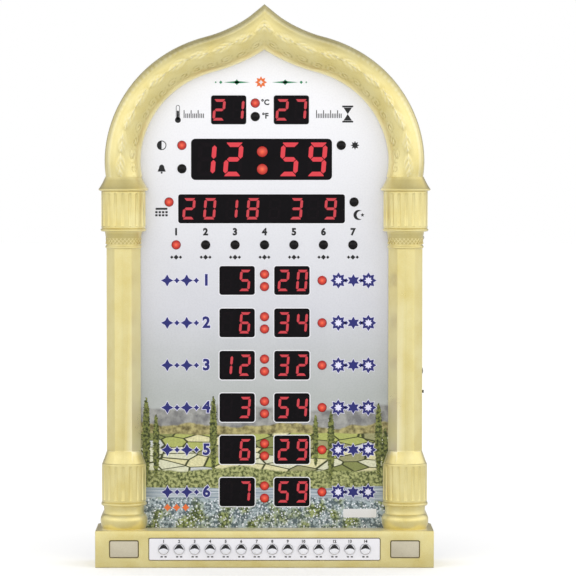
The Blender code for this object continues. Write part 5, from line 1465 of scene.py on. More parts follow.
class CLOCK_OT_marks(bpy.types.Operator):
    """Prints the plain marks on the face: figures, stars, scales and small signs"""

    bl_idname = "clock.marks"
    bl_label = "Printed marks"

    def execute(self, context):
        look = context.scene.clock_face
        inks = {"navy": look.navy, "lilac": look.lilac, "ink": look.ink, "orange": look.orange, "green": look.green}
        inks["white"] = shade(230, 230, 232)
        marks = {name: [] for name in inks}
        self.rows(marks)
        self.weekdays(marks)
        self.status(marks)
        self.ornaments(marks)
        for name, pieces in marks.items():
            material = ink_material(name + "_print", inks[name])
            finish_piece(join(name, pieces), name + "_marks", material)
        return {"FINISHED"}

    def rows(self, marks):
        """A figure and a chain of stars left of each row, a band of stars right of it."""
        layers = (("lilac", 0.0006, 0.00002, 0.00086), ("navy", 0.0, 0.00005, 0.00045))
        for row in ROWS:
            z = node_middle(f"row_{row}_hours").z
            for ink, grow, thickness, weight in layers:
                shapes = [star(x, z, 0.0044 + grow, 4, 0.5) for x in (-0.0694, -0.0555)]
                shapes += [star(x, z, 0.0021 + grow, 4, 0.6) for x in (-0.0625, -0.0486)]
                shapes += [star(x, z, 0.0058 + grow, 8, 0.66) for x in (0.0527, 0.0741)]
                shapes += [star(0.0634, z, 0.0046 + grow, 6, 0.55)]
                shapes += [star(0.0634 + side * 0.0052, z, 0.0017 + grow, 4, 0.6) for side in (1, -1)]
                marks[ink] += [thin_print(shape, thickness=thickness) for shape in shapes]
                marks[ink].append(numeral(str(row), -0.0415, z, 0.0078, weight=weight, thickness=thickness))
            marks["lilac"] += [thin_print(star(x, z, 0.0029, 8, 0.6), thickness=0.00007) for x in (0.0527, 0.0741)]

    def weekdays(self, marks):
        """A figure above each of the seven lights and a chain of small diamonds below it."""
        for number, (x, z) in enumerate(light_places()["weekday_lights"], start=1):
            marks["ink"].append(numeral(str(number), x, z + 0.0091, 0.0048, weight=0.00035))
            marks["ink"] += [
                thin_print(diamond(x + step * 0.0031, z - 0.0088, width, width))
                for step, width in ((-1, 0.0024), (0, 0.0036), (1, 0.0024))
            ]

    def status(self, marks):
        """Signs beside the single lights, and the scales beside the two upper displays."""
        places = light_places()
        (near_x, upper_z), (_, lower_z), (_, calendar_z) = places["left_status_lights"]
        left_x = near_x - 0.0144
        (sun_x, sun_z), (moon_x, moon_z) = places["right_status_lights"]
        ink = marks["ink"]
        ink.append(ring_plate(circle(left_x, upper_z, 0.0034), 0.0006, PANEL_FRONT_Y - 0.00004, PANEL_FRONT_Y))
        ink.append(thin_print(arc((left_x, upper_z), (0.0031, 0.0031), 90, 270, 16)))
        bell = arc((left_x, lower_z + 0.0006), (0.0019, 0.0024), 0, 180, 10)
        bell += [(left_x - 0.0029, lower_z - 0.002), (left_x + 0.0029, lower_z - 0.002)]
        ink += [thin_print(bell), thin_print(circle(left_x, lower_z - 0.0028, 0.0007, 12))]
        grid_x, calendar_z = left_x - 0.0002, calendar_z - 0.0072
        ink.append(thin_print(bar(grid_x, calendar_z + 0.0024, 0.0084, 0.0014)))
        ink += [
            thin_print(bar(grid_x + column * 0.0024, calendar_z - row * 0.0022, 0.0017, 0.0015))
            for column in (-1.5, -0.5, 0.5, 1.5)
            for row in (0, 1)
        ]
        ink.append(thin_print(star(sun_x + 0.0098, sun_z, 0.0032, 8, 0.56)))
        crescent = arc((moon_x + 0.0032, moon_z - 0.0092), (0.0036, 0.0036), 60, 300, 20)
        crescent += arc((moon_x + 0.0047, moon_z - 0.0092), (0.0029, 0.0029), 285, 75, 20)
        ink.append(thin_print(crescent))
        ink.append(thin_print(star(moon_x + 0.006, moon_z - 0.0092, 0.0015, 5, 0.45)))

        for (x, z), sign in zip(places["unit_lights"], ("°C", "°F")):
            ink.append(numeral(sign, x + 0.0071, z + 0.0004, 0.0038, weight=0.0002))
        level = node_middle("display_temperature").z - 0.003
        ink.append(thin_print(circle(-0.0616, level - 0.0042, 0.0021, 20)))
        ink.append(thin_print(bar(-0.0616, level - 0.0006, 0.0016, 0.006)))
        stem = rounded_rectangle(-0.0616, level + 0.0012, 0.0028, 0.0104, 0.0013)
        ink.append(ring_plate(stem, 0.0004, PANEL_FRONT_Y - 0.00004, PANEL_FRONT_Y))
        glass_x = 0.0592
        for side in (1, -1):
            ink.append(thin_print(bar(glass_x, level + side * 0.0054, 0.0078, 0.0012)))
            ink.append(
                thin_print([(glass_x - 0.003, level + side * 0.0046), (glass_x + 0.003, level + side * 0.0046), (glass_x, level)])
            )
        for start, count in ((-0.0572, 12), (0.037, 15)):
            for tick in range(count):
                long = tick % 4 == 0
                height = 0.0056 if long else 0.0032
                ink.append(thin_print(bar(start + tick * 0.00125, level + height / 2 - 0.0028, 0.0006, height)))

    def ornaments(self, marks):
        """The star with tapered lines at the top, and the small marks at the bottom."""
        x, z = -0.0025, 0.3447
        marks["orange"].append(thin_print(star(x, z, 0.0043, 8, 0.62)))
        marks["white"].append(thin_print(star(x, z, 0.0018, 4, 0.5), thickness=0.00006))
        for side in (1, -1):
            marks["green"].append(thin_print(diamond(x + side * 0.0172, z, 0.0188, 0.0018)))
            marks["green"] += [
                thin_print(diamond(x + side * away, z, size, size))
                for away, size in ((0.0172, 0.004), (0.0286, 0.0024), (0.0322, 0.0014))
            ]
        marks["orange"] += [
            thin_print(star(place, 0.041, 0.0027, 4, 0.62)) for place in (-0.0694, -0.0629, -0.0564)
        ]
        marks["white"].append(thin_print(rounded_rectangle(0.0682, 0.0369, 0.0238, 0.0062, 0.0008)))


SEGMENTS_OF = {
    "0": "abcdef",
    "1": "bc",
    "2": "abged",
    "3": "abgcd",
    "4": "fgbc",
    "5": "afgcd",
    "6": "afgedc",
    "7": "abc",
    "8": "abcdefg",
    "9": "abcdfg",
    " ": "",
}


def segment_outlines(right, bottom, width, height, stroke, slant):
    """Outlines of the seven segments of a digit, by letter, from its right-hand edge at mid height."""
    half = stroke / 2
    gap = stroke * 0.09
    left = right - width
    middle = bottom + height / 2
    top = bottom + height
    left_x, right_x = left + half, right - half
    low_z, high_z = bottom + half, top - half

    def level_bar(z, full):
        reach = half - gap
        start, end = left_x + gap, right_x - gap
        if full == "middle":
            return [
                (start, z), (start + reach, z + reach), (end - reach, z + reach),
                (end, z), (end - reach, z - reach), (start + reach, z - reach),
            ]
        outside = reach if full == "top" else -reach
        return [
            (start - reach * 0.6, z + outside), (end + reach * 0.6, z + outside), (end + reach * 0.4, z + outside * 0.5),
            (end - reach, z - outside), (start + reach, z - outside), (start - reach * 0.4, z + outside * 0.5),
        ]

    def upright_bar(x, low, high):
        reach = half - gap
        low, high = low + gap, high - gap
        return [
            (x, low), (x + reach, low + reach), (x + reach, high - reach),
            (x, high), (x - reach, high - reach), (x - reach, low + reach),
        ]

    shapes = {
        "a": level_bar(high_z, "top"),
        "g": level_bar(middle, "middle"),
        "d": level_bar(low_z, "bottom"),
        "b": upright_bar(right_x, middle, high_z),
        "c": upright_bar(right_x, low_z, middle),
        "e": upright_bar(left_x, low_z, middle),
        "f": upright_bar(left_x, middle, high_z),
    }
    lean = math.tan(slant)
    return {
        letter: [(x + (z - middle) * lean, z) for x, z in outline] for letter, outline in shapes.items()
    }


def display_material():
    look = bpy.context.scene.clock_face
    name = "display_black"
    if name in bpy.data.materials:
        return bpy.data.materials[name]
    return moulded_material(
        name, look.unlit, shade(10, 8, 11), (0.3, 0.4), patch=120.0, Specular_IOR_Level=0.1
    )


def unlit_material():
    name = "unlit_segment"
    if name in bpy.data.materials:
        return bpy.data.materials[name]
    return moulded_material(name, shade(20, 14, 19), shade(14, 11, 14), (0.35, 0.45), grain_share=0.6, Specular_IOR_Level=0.1)


def add_glow(piece, values):
    """Stores how strongly each point of a lit piece glows."""
    attribute = piece.data.attributes.get("glow") or piece.data.attributes.new("glow", "FLOAT", "POINT")
    for vertex in piece.data.vertices:
        attribute.data[vertex.index].value = values(vertex.co)


def build_display(node, name, digits, width, height, stroke, lit, more=()):
    """One module: a black block with the segments of its digits set in its face."""
    low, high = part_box(node)
    middle = (low + high) / 2
    radius = corner_radius(node) - FIT
    outline = rounded_rectangle(middle.x, middle.z, high.x - low.x, high.z - low.z, radius)
    block = plate("block", outline, MODULE_FRONT_Y, MODULE_BACK_Y)
    block.data.materials.append(display_material())
    pieces = [block, *more]
    bottom = middle.z - height / 2
    templates = segment_outlines(0, bottom, width, height, stroke, math.radians(4.5))
    face_y = MODULE_FRONT_Y
    made = {}
    for letter, shape in templates.items():
        segment = plate("segment", shape, face_y - 0.00006, face_y + 0.0002)
        bevel_edges(segment, 0.00004, segments=1)
        made[letter] = segment
    for right, value in digits:
        for letter, template in made.items():
            segment = duplicate(template, "segment")
            segment.location.x = right
            place_in_mesh(segment)
            on = letter in SEGMENTS_OF[value]
            segment.data.materials.append(lit if on else unlit_material())
            pieces.append(segment)
            if on:
                add_glow(segment, lambda co: 0.5)
    for template in made.values():
        bpy.data.objects.remove(template)
    finish_piece(join(name, pieces), name, replaces=[node])


DISPLAY_DIGITS = {
    "row_1": ("5", "20"),
    "row_2": ("6", "34"),
    "row_3": ("12", "32"),
    "row_4": ("3", "54"),
    "row_5": ("6", "29"),
    "row_6": ("7", "59"),
}


class CLOCK_OT_displays(bpy.types.Operator):
    """Builds the 16 seven-segment display modules"""

    bl_idname = "clock.displays"
    bl_label = "Displays"

    def execute(self, context):
        look = context.scene.clock_face
        lit = glow_material("lit_segment", look.lit, look.lit, 0.8)
        small = glow_material("lit_small_segment", look.lit_small, look.lit_small, 0.72)
        time_digits = [(-0.0343, "1"), (-0.0153, "2"), (0.0246, "5"), (0.0445, "9")]
        domes = []
        for z in (0.2954, 0.2829):
            x, radius, face_y = -0.0016, 0.00415, MODULE_FRONT_Y
            dome = light_dome("dome", x, z, radius, face_y - 0.0012, face_y + 0.002)
            dome.data.materials.append(led_material())
            # Brighter towards the middle: a painted highlight on the lit lens.
            add_glow(dome, lambda co: max(0.0, 1 - math.hypot(co.x - x, co.z - z) / radius) ** 1.7)
            domes.append(dome)
        build_display("display_time", "time_display", time_digits, 0.0138, 0.0247, 0.0039, lit, domes)
        date_digits = [
            (-0.0493, "2"), (-0.0345, "0"), (-0.0188, "1"), (-0.0038, "8"),
            (0.0117, " "), (0.0273, "3"), (0.0392, " "), (0.0515, "9"),
        ]
        sizes = (0.009, 0.0156, 0.0023)
        build_display("display_date", "date_display", date_digits, *sizes, small)
        build_display("display_temperature", "temperature_display", [(-0.0278, "2"), (-0.0144, "1")], *sizes, small)
        build_display("display_countdown", "countdown_display", [(0.0171, "2"), (0.0301, "7")], *sizes, small)
        row_sizes = (0.0081, 0.0156, 0.0022)
        for row in ROWS:
            hours, minutes = DISPLAY_DIGITS[f"row_{row}"]
            hours = hours.rjust(2)
            places = [(-0.0226, hours[0]), (-0.0099, hours[1])]
            build_display(f"row_{row}_hours", f"row_{row}_hours_display", places, *row_sizes, small)
            places = [(0.0177, minutes[0]), (0.0308, minutes[1])]
            build_display(f"row_{row}_minutes", f"row_{row}_minutes_display", places, *row_sizes, small)
        return {"FINISHED"}


# Red rim and orange core: the orange core is a painted highlight on the lit lens.
def led_material():
    return glow_material("lit_led", shade(172, 22, 16), shade(250, 100, 62), 0.85)


LIT_LIGHTS = {
    "weekday_lights": (0,),
    "colon_lights": tuple(range(12)),
    "row_lights": tuple(range(6)),
    "unit_lights": (0,),
    "left_status_lights": (0, 2),
    "right_status_lights": (),
}


def light_dome(name, x, z, radius, front_y, back_y):
    """A round lens with a domed front."""
    crown = radius * 0.5
    profile = arc((0, front_y + crown), (radius, crown), -90, 0, 8)
    profile += [(radius, back_y), (0, back_y)]
    return turned(name, profile, x, z, 28)


class CLOCK_OT_lights(bpy.types.Operator):
    """Builds the round indicator lights on their strips"""

    bl_idname = "clock.lights"
    bl_label = "Lights"

    def execute(self, context):
        lit = led_material()
        dark = moulded_material(
            "dark_led", shade(12, 10, 12), shade(5, 4, 5), (0.15, 0.25), Specular_IOR_Level=0.25
        )
        strip_material = display_material()
        for group, places in light_places().items():
            pieces = []
            front_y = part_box(group)[0].y
            for number, (x, z) in enumerate(places):
                dome = light_dome("dome", x, z, LED_RADIUS, front_y, MODULE_BACK_Y - 0.0006)
                on = number in LIT_LIGHTS[group]
                dome.data.materials.append(lit if on else dark)
                # Brighter towards the middle: a painted highlight on each lit lens.
                if on:
                    add_glow(
                        dome,
                        lambda co: max(0.0, 1 - math.hypot(co.x - x, co.z - z) / LED_RADIUS) ** 1.7,
                    )
                pieces.append(dome)
            strips = self.strips(group, places)
            for low, high in strips:
                strip = box_cutter("strip", low, high)
                strip.data.materials.append(strip_material)
                pieces.append(strip)
            module = join(group, pieces)
            finish_piece(module, group.replace("_lights", "_leds"), replaces=[group])
        return {"FINISHED"}

    def strips(self, group, places):
        half = LED_RADIUS - 0.0008
        front, back = PANEL_BACK_Y + FIT, MODULE_BACK_Y
        if group == "left_status_lights":
            near, lower, far = places
            runs = [(far, (far[0], near[1])), ((far[0], near[1]), near), ((far[0], lower[1]), lower)]
        elif group == "right_status_lights":
            near, far = places
            runs = [(far, (far[0], near[1])), (near, (far[0], near[1]))]
        else:
            runs = [(places[0], places[-1])]
        return [
            (
                (min(start[0], end[0]) - half, front, min(start[1], end[1]) - half),
                (max(start[0], end[0]) + half, back, max(start[1], end[1]) + half),
            )
            for start, end in runs
        ]


# ---------------------------------------------------------------- plinth front


class CLOCK_OT_keys(bpy.types.Operator):
    """Builds the 14 keys, their white label and the two end windows"""

    bl_idname = "clock.keys"
    bl_label = "Keys"

    def execute(self, context):
        white = moulded_material(
            "key_white", shade(228, 228, 233), shade(214, 214, 220), (0.18, 0.26), Coat_Weight=0.3
        )
        first = KEY_NODES[0]
        low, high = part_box(first)
        x = node_middle(first).x
        crown = 0.0014
        flange_front = FRONT_Y + WALL + FIT
        profile = arc((0, low.y + crown), (KEY_RADIUS, crown), -90, 0, 10)
        profile += [
            (KEY_RADIUS, flange_front),
            (KEY_RADIUS + 0.0008, flange_front),
            (KEY_RADIUS + 0.0008, flange_front + 0.0008),
            (0.0016, flange_front + 0.0008),
            (0.0016, high.y),
            (0, high.y),
        ]
        master = turned("key", profile, x, KEY_Z, 40)
        master.data.materials.append(white)
        # Black for the label's print, and for the painted shade on the keys.
        black = ink_material("key_print", context.scene.clock_face.ink)
        # The black crescent over the upper half of each key is painted shade: a dark sheet shaped onto the dome where
        # it falls in shadow.
        shade_crescent = [
            (-3.5, -0.4), (-2.8, 1.2), (-1.4, 3.1), (0, 3.55), (1.4, 3.1), (2.8, 1.2), (3.5, -0.4), (1.8, 0.5),
            (0, 0.9), (-1.8, 0.5),
        ]
        mark = plate("shade_crescent", [(x + out / 1000, KEY_Z + up / 1000) for out, up in shade_crescent], low.y - 0.001, low.y + 0.0016)
        lift = 0.00003
        shell = [(radius * 1.004, y - lift) for radius, y in arc((0, low.y + crown), (KEY_RADIUS, crown), -90, 0, 10)]
        shell += [(KEY_RADIUS, low.y + crown + lift)]
        shell += [(radius, y + lift) for radius, y in arc((0, low.y + crown), (KEY_RADIUS, crown), 0, -90, 10)]
        combine(mark, turned("shell", shell, x, KEY_Z, 40), "INTERSECT")
        mark.data.materials.append(black)
        master = join("key", [master, mark])
        for node in KEY_NODES:
            key = duplicate(master, "key")
            key.location.x = node_middle(node).x - x
            finish_piece(key, node + "_cap", body=node, replaces=[node])
        bpy.data.objects.remove(master)

        low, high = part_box("key_label")
        label_white = moulded_material(
            "label_white", shade(228, 227, 231), shade(219, 218, 223), (0.35, 0.45), grain_share=0.5
        )
        width, height, rim = high.x - low.x, high.z - low.z, 0.0004
        outline = rounded_rectangle(0, KEY_Z, width - 2 * rim, height - 2 * rim, 0.0008)
        label = plate("label", outline, low.y, high.y)
        holes = [plate("hole", circle(node_middle(node).x, KEY_Z, KEY_HOLE_RADIUS), low.y - 0.003, high.y + 0.003)
                 for node in KEY_NODES]
        combine(label, join("holes", holes), "DIFFERENCE")
        label.data.materials.append(label_white)
        marks = []
        for number, node in enumerate(KEY_NODES, start=1):
            middle_x = node_middle(node).x
            marks.append(numeral(str(number), middle_x, KEY_Z + 0.0056, 0.002, low.y, 0.00012))
            marks += [thin_print(bar(middle_x + side * 0.0014, KEY_Z - 0.0054, 0.0016, 0.0009), low.y) for side in (1, -1)]
        marks = join("marks", marks)
        marks.data.materials.clear()
        marks.data.materials.append(black)
        # A thin dark brown ring round the label, along the recess's edge, is painted shade: the shadow in the gap into
        # the recess.
        shade_ring = ring_plate(rounded_rectangle(0, KEY_Z, width, height, 0.0011), rim, low.y + 0.0001, high.y)
        gap_shade = moulded_material("recess_seal", shade(84, 70, 36), shade(62, 50, 26), (0.5, 0.6))
        shade_ring.data.materials.append(gap_shade)
        label = join("label", [label, marks, shade_ring])
        finish_piece(label, "label_plate", replaces=["key_label"])

        grey = moulded_material(
            "window_grey", shade(206, 198, 176), shade(188, 180, 158), (0.3, 0.42), Metallic=0.35, grain_share=0.5
        )
        for node in ("left_window", "right_window"):
            low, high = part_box(node)
            middle = (low + high) / 2
            width, height = high.x - low.x, high.z - low.z
            rim = 0.0005
            outline = rounded_rectangle(middle.x, middle.z, width - 2 * rim, height - 2 * rim, 0.0008)
            window = plate("window", outline, low.y, high.y)
            bevel_edges(window, 0.00018)
            window.data.materials.append(grey)
            outline = rounded_rectangle(middle.x, middle.z, width, height, 0.0012)
            # The same ring of painted shade round each window.
            shade_ring = ring_plate(outline, rim, low.y + 0.0001, high.y)
            shade_ring.data.materials.append(gap_shade)
            window = join("window", [window, shade_ring])
            finish_piece(window, node + "_lens", replaces=[node])
        return {"FINISHED"}


# ---------------------------------------------------------------- back cover


def black_plastic():
    """Grained black moulding plastic."""
    name = "charcoal_plastic"
    look = bpy.context.scene.clock_fittings
    if name in bpy.data.materials:
        return bpy.data.materials[name]
    return moulded_material(
        name, look.light_charcoal, look.dark_charcoal, (0.5, 0.62), grain=1400.0, bump=0.6, Specular_IOR_Level=0.4
    )


def steel_material():
    name = "bright_metal"
    if name in bpy.data.materials:
        return bpy.data.materials[name]
    steel = bpy.context.scene.clock_fittings.steel
    return moulded_material(
        name, steel, tuple(0.75 * value for value in steel), (0.22, 0.4), patch=300.0, bump=0.2, Metallic=1.0
    )


def rear_outline(inset):
    """The case's outline seen from behind, a little inside it, from the lower right corner to the lower left."""
    line = [(PLINTH_HALF_WIDTH - inset, inset), (PLINTH_HALF_WIDTH - inset, PLINTH_TOP - inset)]
    profile = [point for point in pedestal_profile() if point[1] > PLINTH_TOP - inset]
    profile += capital_profile()[1:]
    line += [(COLUMN_X + radius - inset, z) for radius, z in profile]
    line += [tuple(point) for point in reversed(arch_offset(ARCH_RADIUS - inset)) if point.x > 0 and point.y > SPRING_Z]
    apex = arch_offset(ARCH_RADIUS - inset)
    middle = min(apex, key=lambda point: abs(point.x))
    line.append((0, middle.y))
    return line + [(-x, z) for x, z in reversed(line[:-1])]


class CLOCK_OT_cover(bpy.types.Operator):
    """Builds the back cover with its openings, pads, posts and power inlet"""

    bl_idname = "clock.cover"
    bl_label = "Back cover"

    def execute(self, context):
        look = context.scene.clock_fittings
        inner, rear = COVER_INNER_Y, REAR_Y
        cover = plate("cover", rear_outline(look.cover_inset), inner, rear)
        with editing(cover, "EDGE"):
            pick_edges(cover, lambda first, second: min(first.y, second.y) > rear - SEED)
            bpy.ops.mesh.bevel(offset=look.cover_edge, segments=3, affect="EDGES", clamp_overlap=True)
        speaker = node_middle("speaker_frame")
        screws = [node_middle(node) for node in SCREW_NODES]
        head_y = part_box(SCREW_NODES[0])[1].y - 0.0018

        # Everything that stands inside: screw pads, posts against the board and the speaker's ring
        post_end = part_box("display_board")[1].y + FIT
        stands = [plate("pad", circle(place.x, place.z, 0.005), inner - 0.003, inner + 0.0005) for place in screws]
        stands += [
            plate("post", circle(side * 0.066, z, 0.003, 20), post_end, inner + 0.0005)
            for side in (1, -1)
            for z in (0.0824, 0.2036)
        ]
        stands.append(
            ring_plate(circle(speaker.x, speaker.z, 0.0268, 64), 0.0015, inner - 0.004, inner + 0.0005)
        )
        combine(cover, join("stands", stands), "UNION")

        # Openings
        front, back = inner - 0.006, rear + CUT_MARGIN
        vents = [(0, 0)]
        for ring, count in ((1, 6), (2, 12)):
            for step in range(count):
                turn = math.tau * step / count
                vents.append((ring * look.vent_pitch * math.cos(turn), ring * look.vent_pitch * math.sin(turn)))
        holes = [
            plate("vent", circle(speaker.x + x, speaker.z + z, look.vent_radius, 20), inner - 0.001, back)
            for x, z in vents
        ]
        inlet = node_middle("power_inlet")
        holes.append(plate("inlet_hole", circle(inlet.x, inlet.z, 0.0045), inner - 0.001, back))
        for side in (1, -1):
            x, z = side * 0.045, 0.2547
            start = math.degrees(math.asin(look.key_slot / look.key_head))
            keyhole = arc((x, z), (look.key_head, look.key_head), 90 + start, 450 - start, 28)
            keyhole += arc((x, z + 0.0085 - look.key_slot), (look.key_slot, look.key_slot), 0, 180, 12)
            holes.append(plate("keyhole", keyhole, inner - 0.001, back))
        holes += [plate("shank_hole", circle(place.x, place.z, 0.0016, 20), front, back) for place in screws]
        combine(cover, join("holes", holes), "DIFFERENCE")
        sinks = [plate("sink", circle(place.x, place.z, 0.0031, 28), head_y, back) for place in screws]
        sinks.append(
            plate("label_bed", rounded_rectangle(0, 0.172, 0.064, 0.036, 0.002), rear - 0.0003, back)
        )
        combine(cover, join("sinks", sinks), "DIFFERENCE")
        finish_piece(cover, "rear_cover", black_plastic(), replaces=["back_cover"])

        silver = moulded_material("silver_foil", shade(196, 196, 196), shade(172, 172, 174), (0.4, 0.5), Metallic=0.4)
        outline = rounded_rectangle(0, 0.172, 0.063, 0.035, 0.0018)
        foil = plate("foil", outline, rear - 0.0003, rear - 0.0001)
        finish_piece(foil, "bare_rating_label", silver)
        self.inlet(inlet)
        return {"FINISHED"}

    def inlet(self, place):
        """The round power inlet with its pin."""
        low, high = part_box("power_inlet")
        flange = COVER_INNER_Y
        profile = [
            (0, low.y), (0.0042, low.y), (0.0042, flange - 0.0015), (0.006, flange - 0.0015), (0.006, flange - FIT),
            (0.0042, flange - FIT), (0.0042, high.y - 0.0003), (0.0039, high.y), (0.003, high.y), (0.00275, high.y - 0.0003),
            (0.00275, flange - 0.006), (0, flange - 0.006),
        ]
        barrel = turned("barrel", profile, place.x, place.z)
        barrel.data.materials.append(black_plastic())
        pin_end = high.y - 0.0015
        profile = [(0, flange - 0.0062), (0.00105, flange - 0.0062), (0.00105, pin_end - 0.0004), (0.0007, pin_end), (0, pin_end)]
        pin = turned("pin", profile, place.x, place.z, 20)
        pin.data.materials.append(steel_material())
        finish_piece(join("inlet", [barrel, pin]), "inlet_socket", replaces=["power_inlet"])


SCREW_NODES = ("screw_lower_left", "screw_lower_right", "screw_upper_left", "screw_upper_right", "screw_top")


class CLOCK_OT_screws(bpy.types.Operator):
    """Builds the five cross-recess screws of the cover"""

    bl_idname = "clock.screws"
    bl_label = "Screws"

    def execute(self, context):
        first = SCREW_NODES[0]
        low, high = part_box(first)
        x, z = node_middle(first).x, node_middle(first).z
        under = high.y - 0.0018
        profile = [(0, low.y), (0.0005, low.y), (0.0012, low.y + 0.001), (0.0012, under)]
        profile = [*profile, (0.0028, under), (0.0028, high.y - 0.0008)]
        profile += arc((0.0014, high.y - 0.0008), (0.0014, 0.0008), 10, 90, 6) + [(0, high.y)]
        screw = turned("screw", profile, x, z, 28)
        thread = self.thread(x, z, low.y + 0.001, under - 0.0004)
        screw = join("screw", [screw, thread])
        for width, height in ((0.0036, 0.0009), (0.0009, 0.0036)):
            cross = plate("cross", rounded_rectangle(x, z, width, height, 0.0002, 2), high.y - 0.001, high.y + 0.001)
            combine(screw, cross, "DIFFERENCE")
        for node in SCREW_NODES:
            copy = duplicate(screw, "screw")
            copy.location = (node_middle(node).x - x, 0, node_middle(node).z - z)
            finish_piece(copy, node + "_cross", steel_material(), replaces=[node])
        bpy.data.objects.remove(screw)
        return {"FINISHED"}

    def thread(self, x, z, start, end):
        """The ridge of a thread as a row of rings."""
        pitch = 0.0006
        profile = [(0, start)]
        for ridge in range(int((end - start) / pitch)):
            base = start + ridge * pitch
            profile += [(0.00115, base), (0.0014, base + pitch * 0.5), (0.00115, base + pitch * 0.98)]
        profile.append((0, profile[-1][1]))
        return turned("thread", profile, x, z, 16)


class CLOCK_OT_controls(bpy.types.Operator):
    """Builds the knurled thumbwheel, the ribbed slider and the temperature probe"""

    bl_idname = "clock.controls"
    bl_label = "Side controls"

    def execute(self, context):
        look = context.scene.clock_fittings
        low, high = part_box("volume_wheel")
        middle = (low + high) / 2
        radius = high.x - middle.x
        outline = []
        for tooth in range(look.knurl_count):
            for share, drop in ((0.0, look.knurl_depth), (0.3, 0.0), (0.6, 0.0), (0.9, look.knurl_depth)):
                turn = math.tau * (tooth + share) / look.knurl_count
                reach = radius - drop
                outline.append((middle.x + reach * math.cos(turn), middle.z + reach * math.sin(turn)))
        wheel = plate("wheel", outline, low.y, high.y)
        bevel_edges(wheel, 0.0002, 70, 2)
        combine(wheel, plate("bore", circle(middle.x, middle.z, 0.0012, 24), low.y - 0.001, high.y + 0.001), "DIFFERENCE")
        finish_piece(
            wheel, "knurled_wheel", black_plastic(), body="volume_wheel", replaces=["volume_wheel"]
        )

        low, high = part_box("mode_switch_slider")
        slider = box_cutter("slider", low, high)
        bevel_edges(slider, 0.00025, 40, 3)
        grooves = [
            box_cutter(
                "groove",
                (high.x - look.rib_depth, low.y - 0.001, low.z + share * (high.z - low.z) - 0.00015),
                (high.x + 0.001, high.y + 0.001, low.z + share * (high.z - low.z) + 0.00015),
            )
            for share in (0.28, 0.5, 0.72)
        ]
        combine(slider, join("grooves", grooves), "DIFFERENCE")
        finish_piece(
            slider, "ribbed_slider", black_plastic(), body="mode_switch_slider",
            replaces=["mode_switch_slider"],
        )

        low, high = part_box("temperature_probe")
        middle = (low + high) / 2
        radius, nose = look.probe_radius, 0.1145
        wall = COLUMN_X + CORE_RADIUS - 0.0001
        profile = [(0, low.x), (0.0007, low.x), (0.0007, wall - 0.0012), (0.0026, wall - 0.0012), (0.0026, wall)]
        profile += [(radius, wall), *arc((0, nose - radius), (radius, radius), 0, 90, 8)]
        probe = turned_sideways("probe", profile, middle.y, middle.z)
        finish_piece(probe, "probe_tip", steel_material(), replaces=["temperature_probe"])
        return {"FINISHED"}


class CLOCK_OT_boards(bpy.types.Operator):
    """Gives the inner parts their materials"""

    bl_idname = "clock.boards"
    bl_label = "Inner parts"

    def execute(self, context):
        look = context.scene.clock_fittings
        green = tuple(look.board_green)
        lacquer = moulded_material(
            "board_lacquer", green, tuple(0.6 * value for value in green), (0.25, 0.4), patch=220.0, Coat_Weight=0.3
        )
        paper = moulded_material(
            "cone_paper", shade(44, 42, 40), shade(28, 27, 26), (0.75, 0.9), grain=1800.0, bump=0.8
        )
        pressed = moulded_material(
            "pressed_steel", shade(150, 150, 152), shade(124, 124, 128), (0.35, 0.5), patch=90.0, Metallic=1.0
        )
        dark_filter = moulded_material("infrared_filter", shade(30, 22, 34), shade(18, 14, 22), (0.1, 0.18))
        materials = {
            "display_board": lacquer,
            "key_board": lacquer,
            "speaker_cone": paper,
            "speaker_frame": pressed,
            "volume_control": black_plastic(),
            "mode_switch_body": pressed,
            "infrared_receiver": dark_filter,
            "cell_holder": black_plastic(),
            "backup_cell": steel_material(),
        }
        for node, material in materials.items():
            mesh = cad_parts[node].data
            mesh.materials.clear()
            mesh.materials.append(material)
        return {"FINISHED"}


# ---------------------------------------------------------------- stage


def area_lamp(name, place, target, size, power, colour=(1, 1, 1)):
    deselect_all()
    bpy.ops.object.light_add(type="AREA", location=place)
    lamp = bpy.context.object
    lamp.name = name
    lamp.data.shape = "RECTANGLE"
    lamp.data.size, lamp.data.size_y = size
    lamp.data.energy = power
    lamp.data.color = colour
    direction = Vector(target) - Vector(place)
    lamp.rotation_euler = direction.to_track_quat("-Z", "Y").to_euler()
    lamp.visible_glossy = False
    return lamp


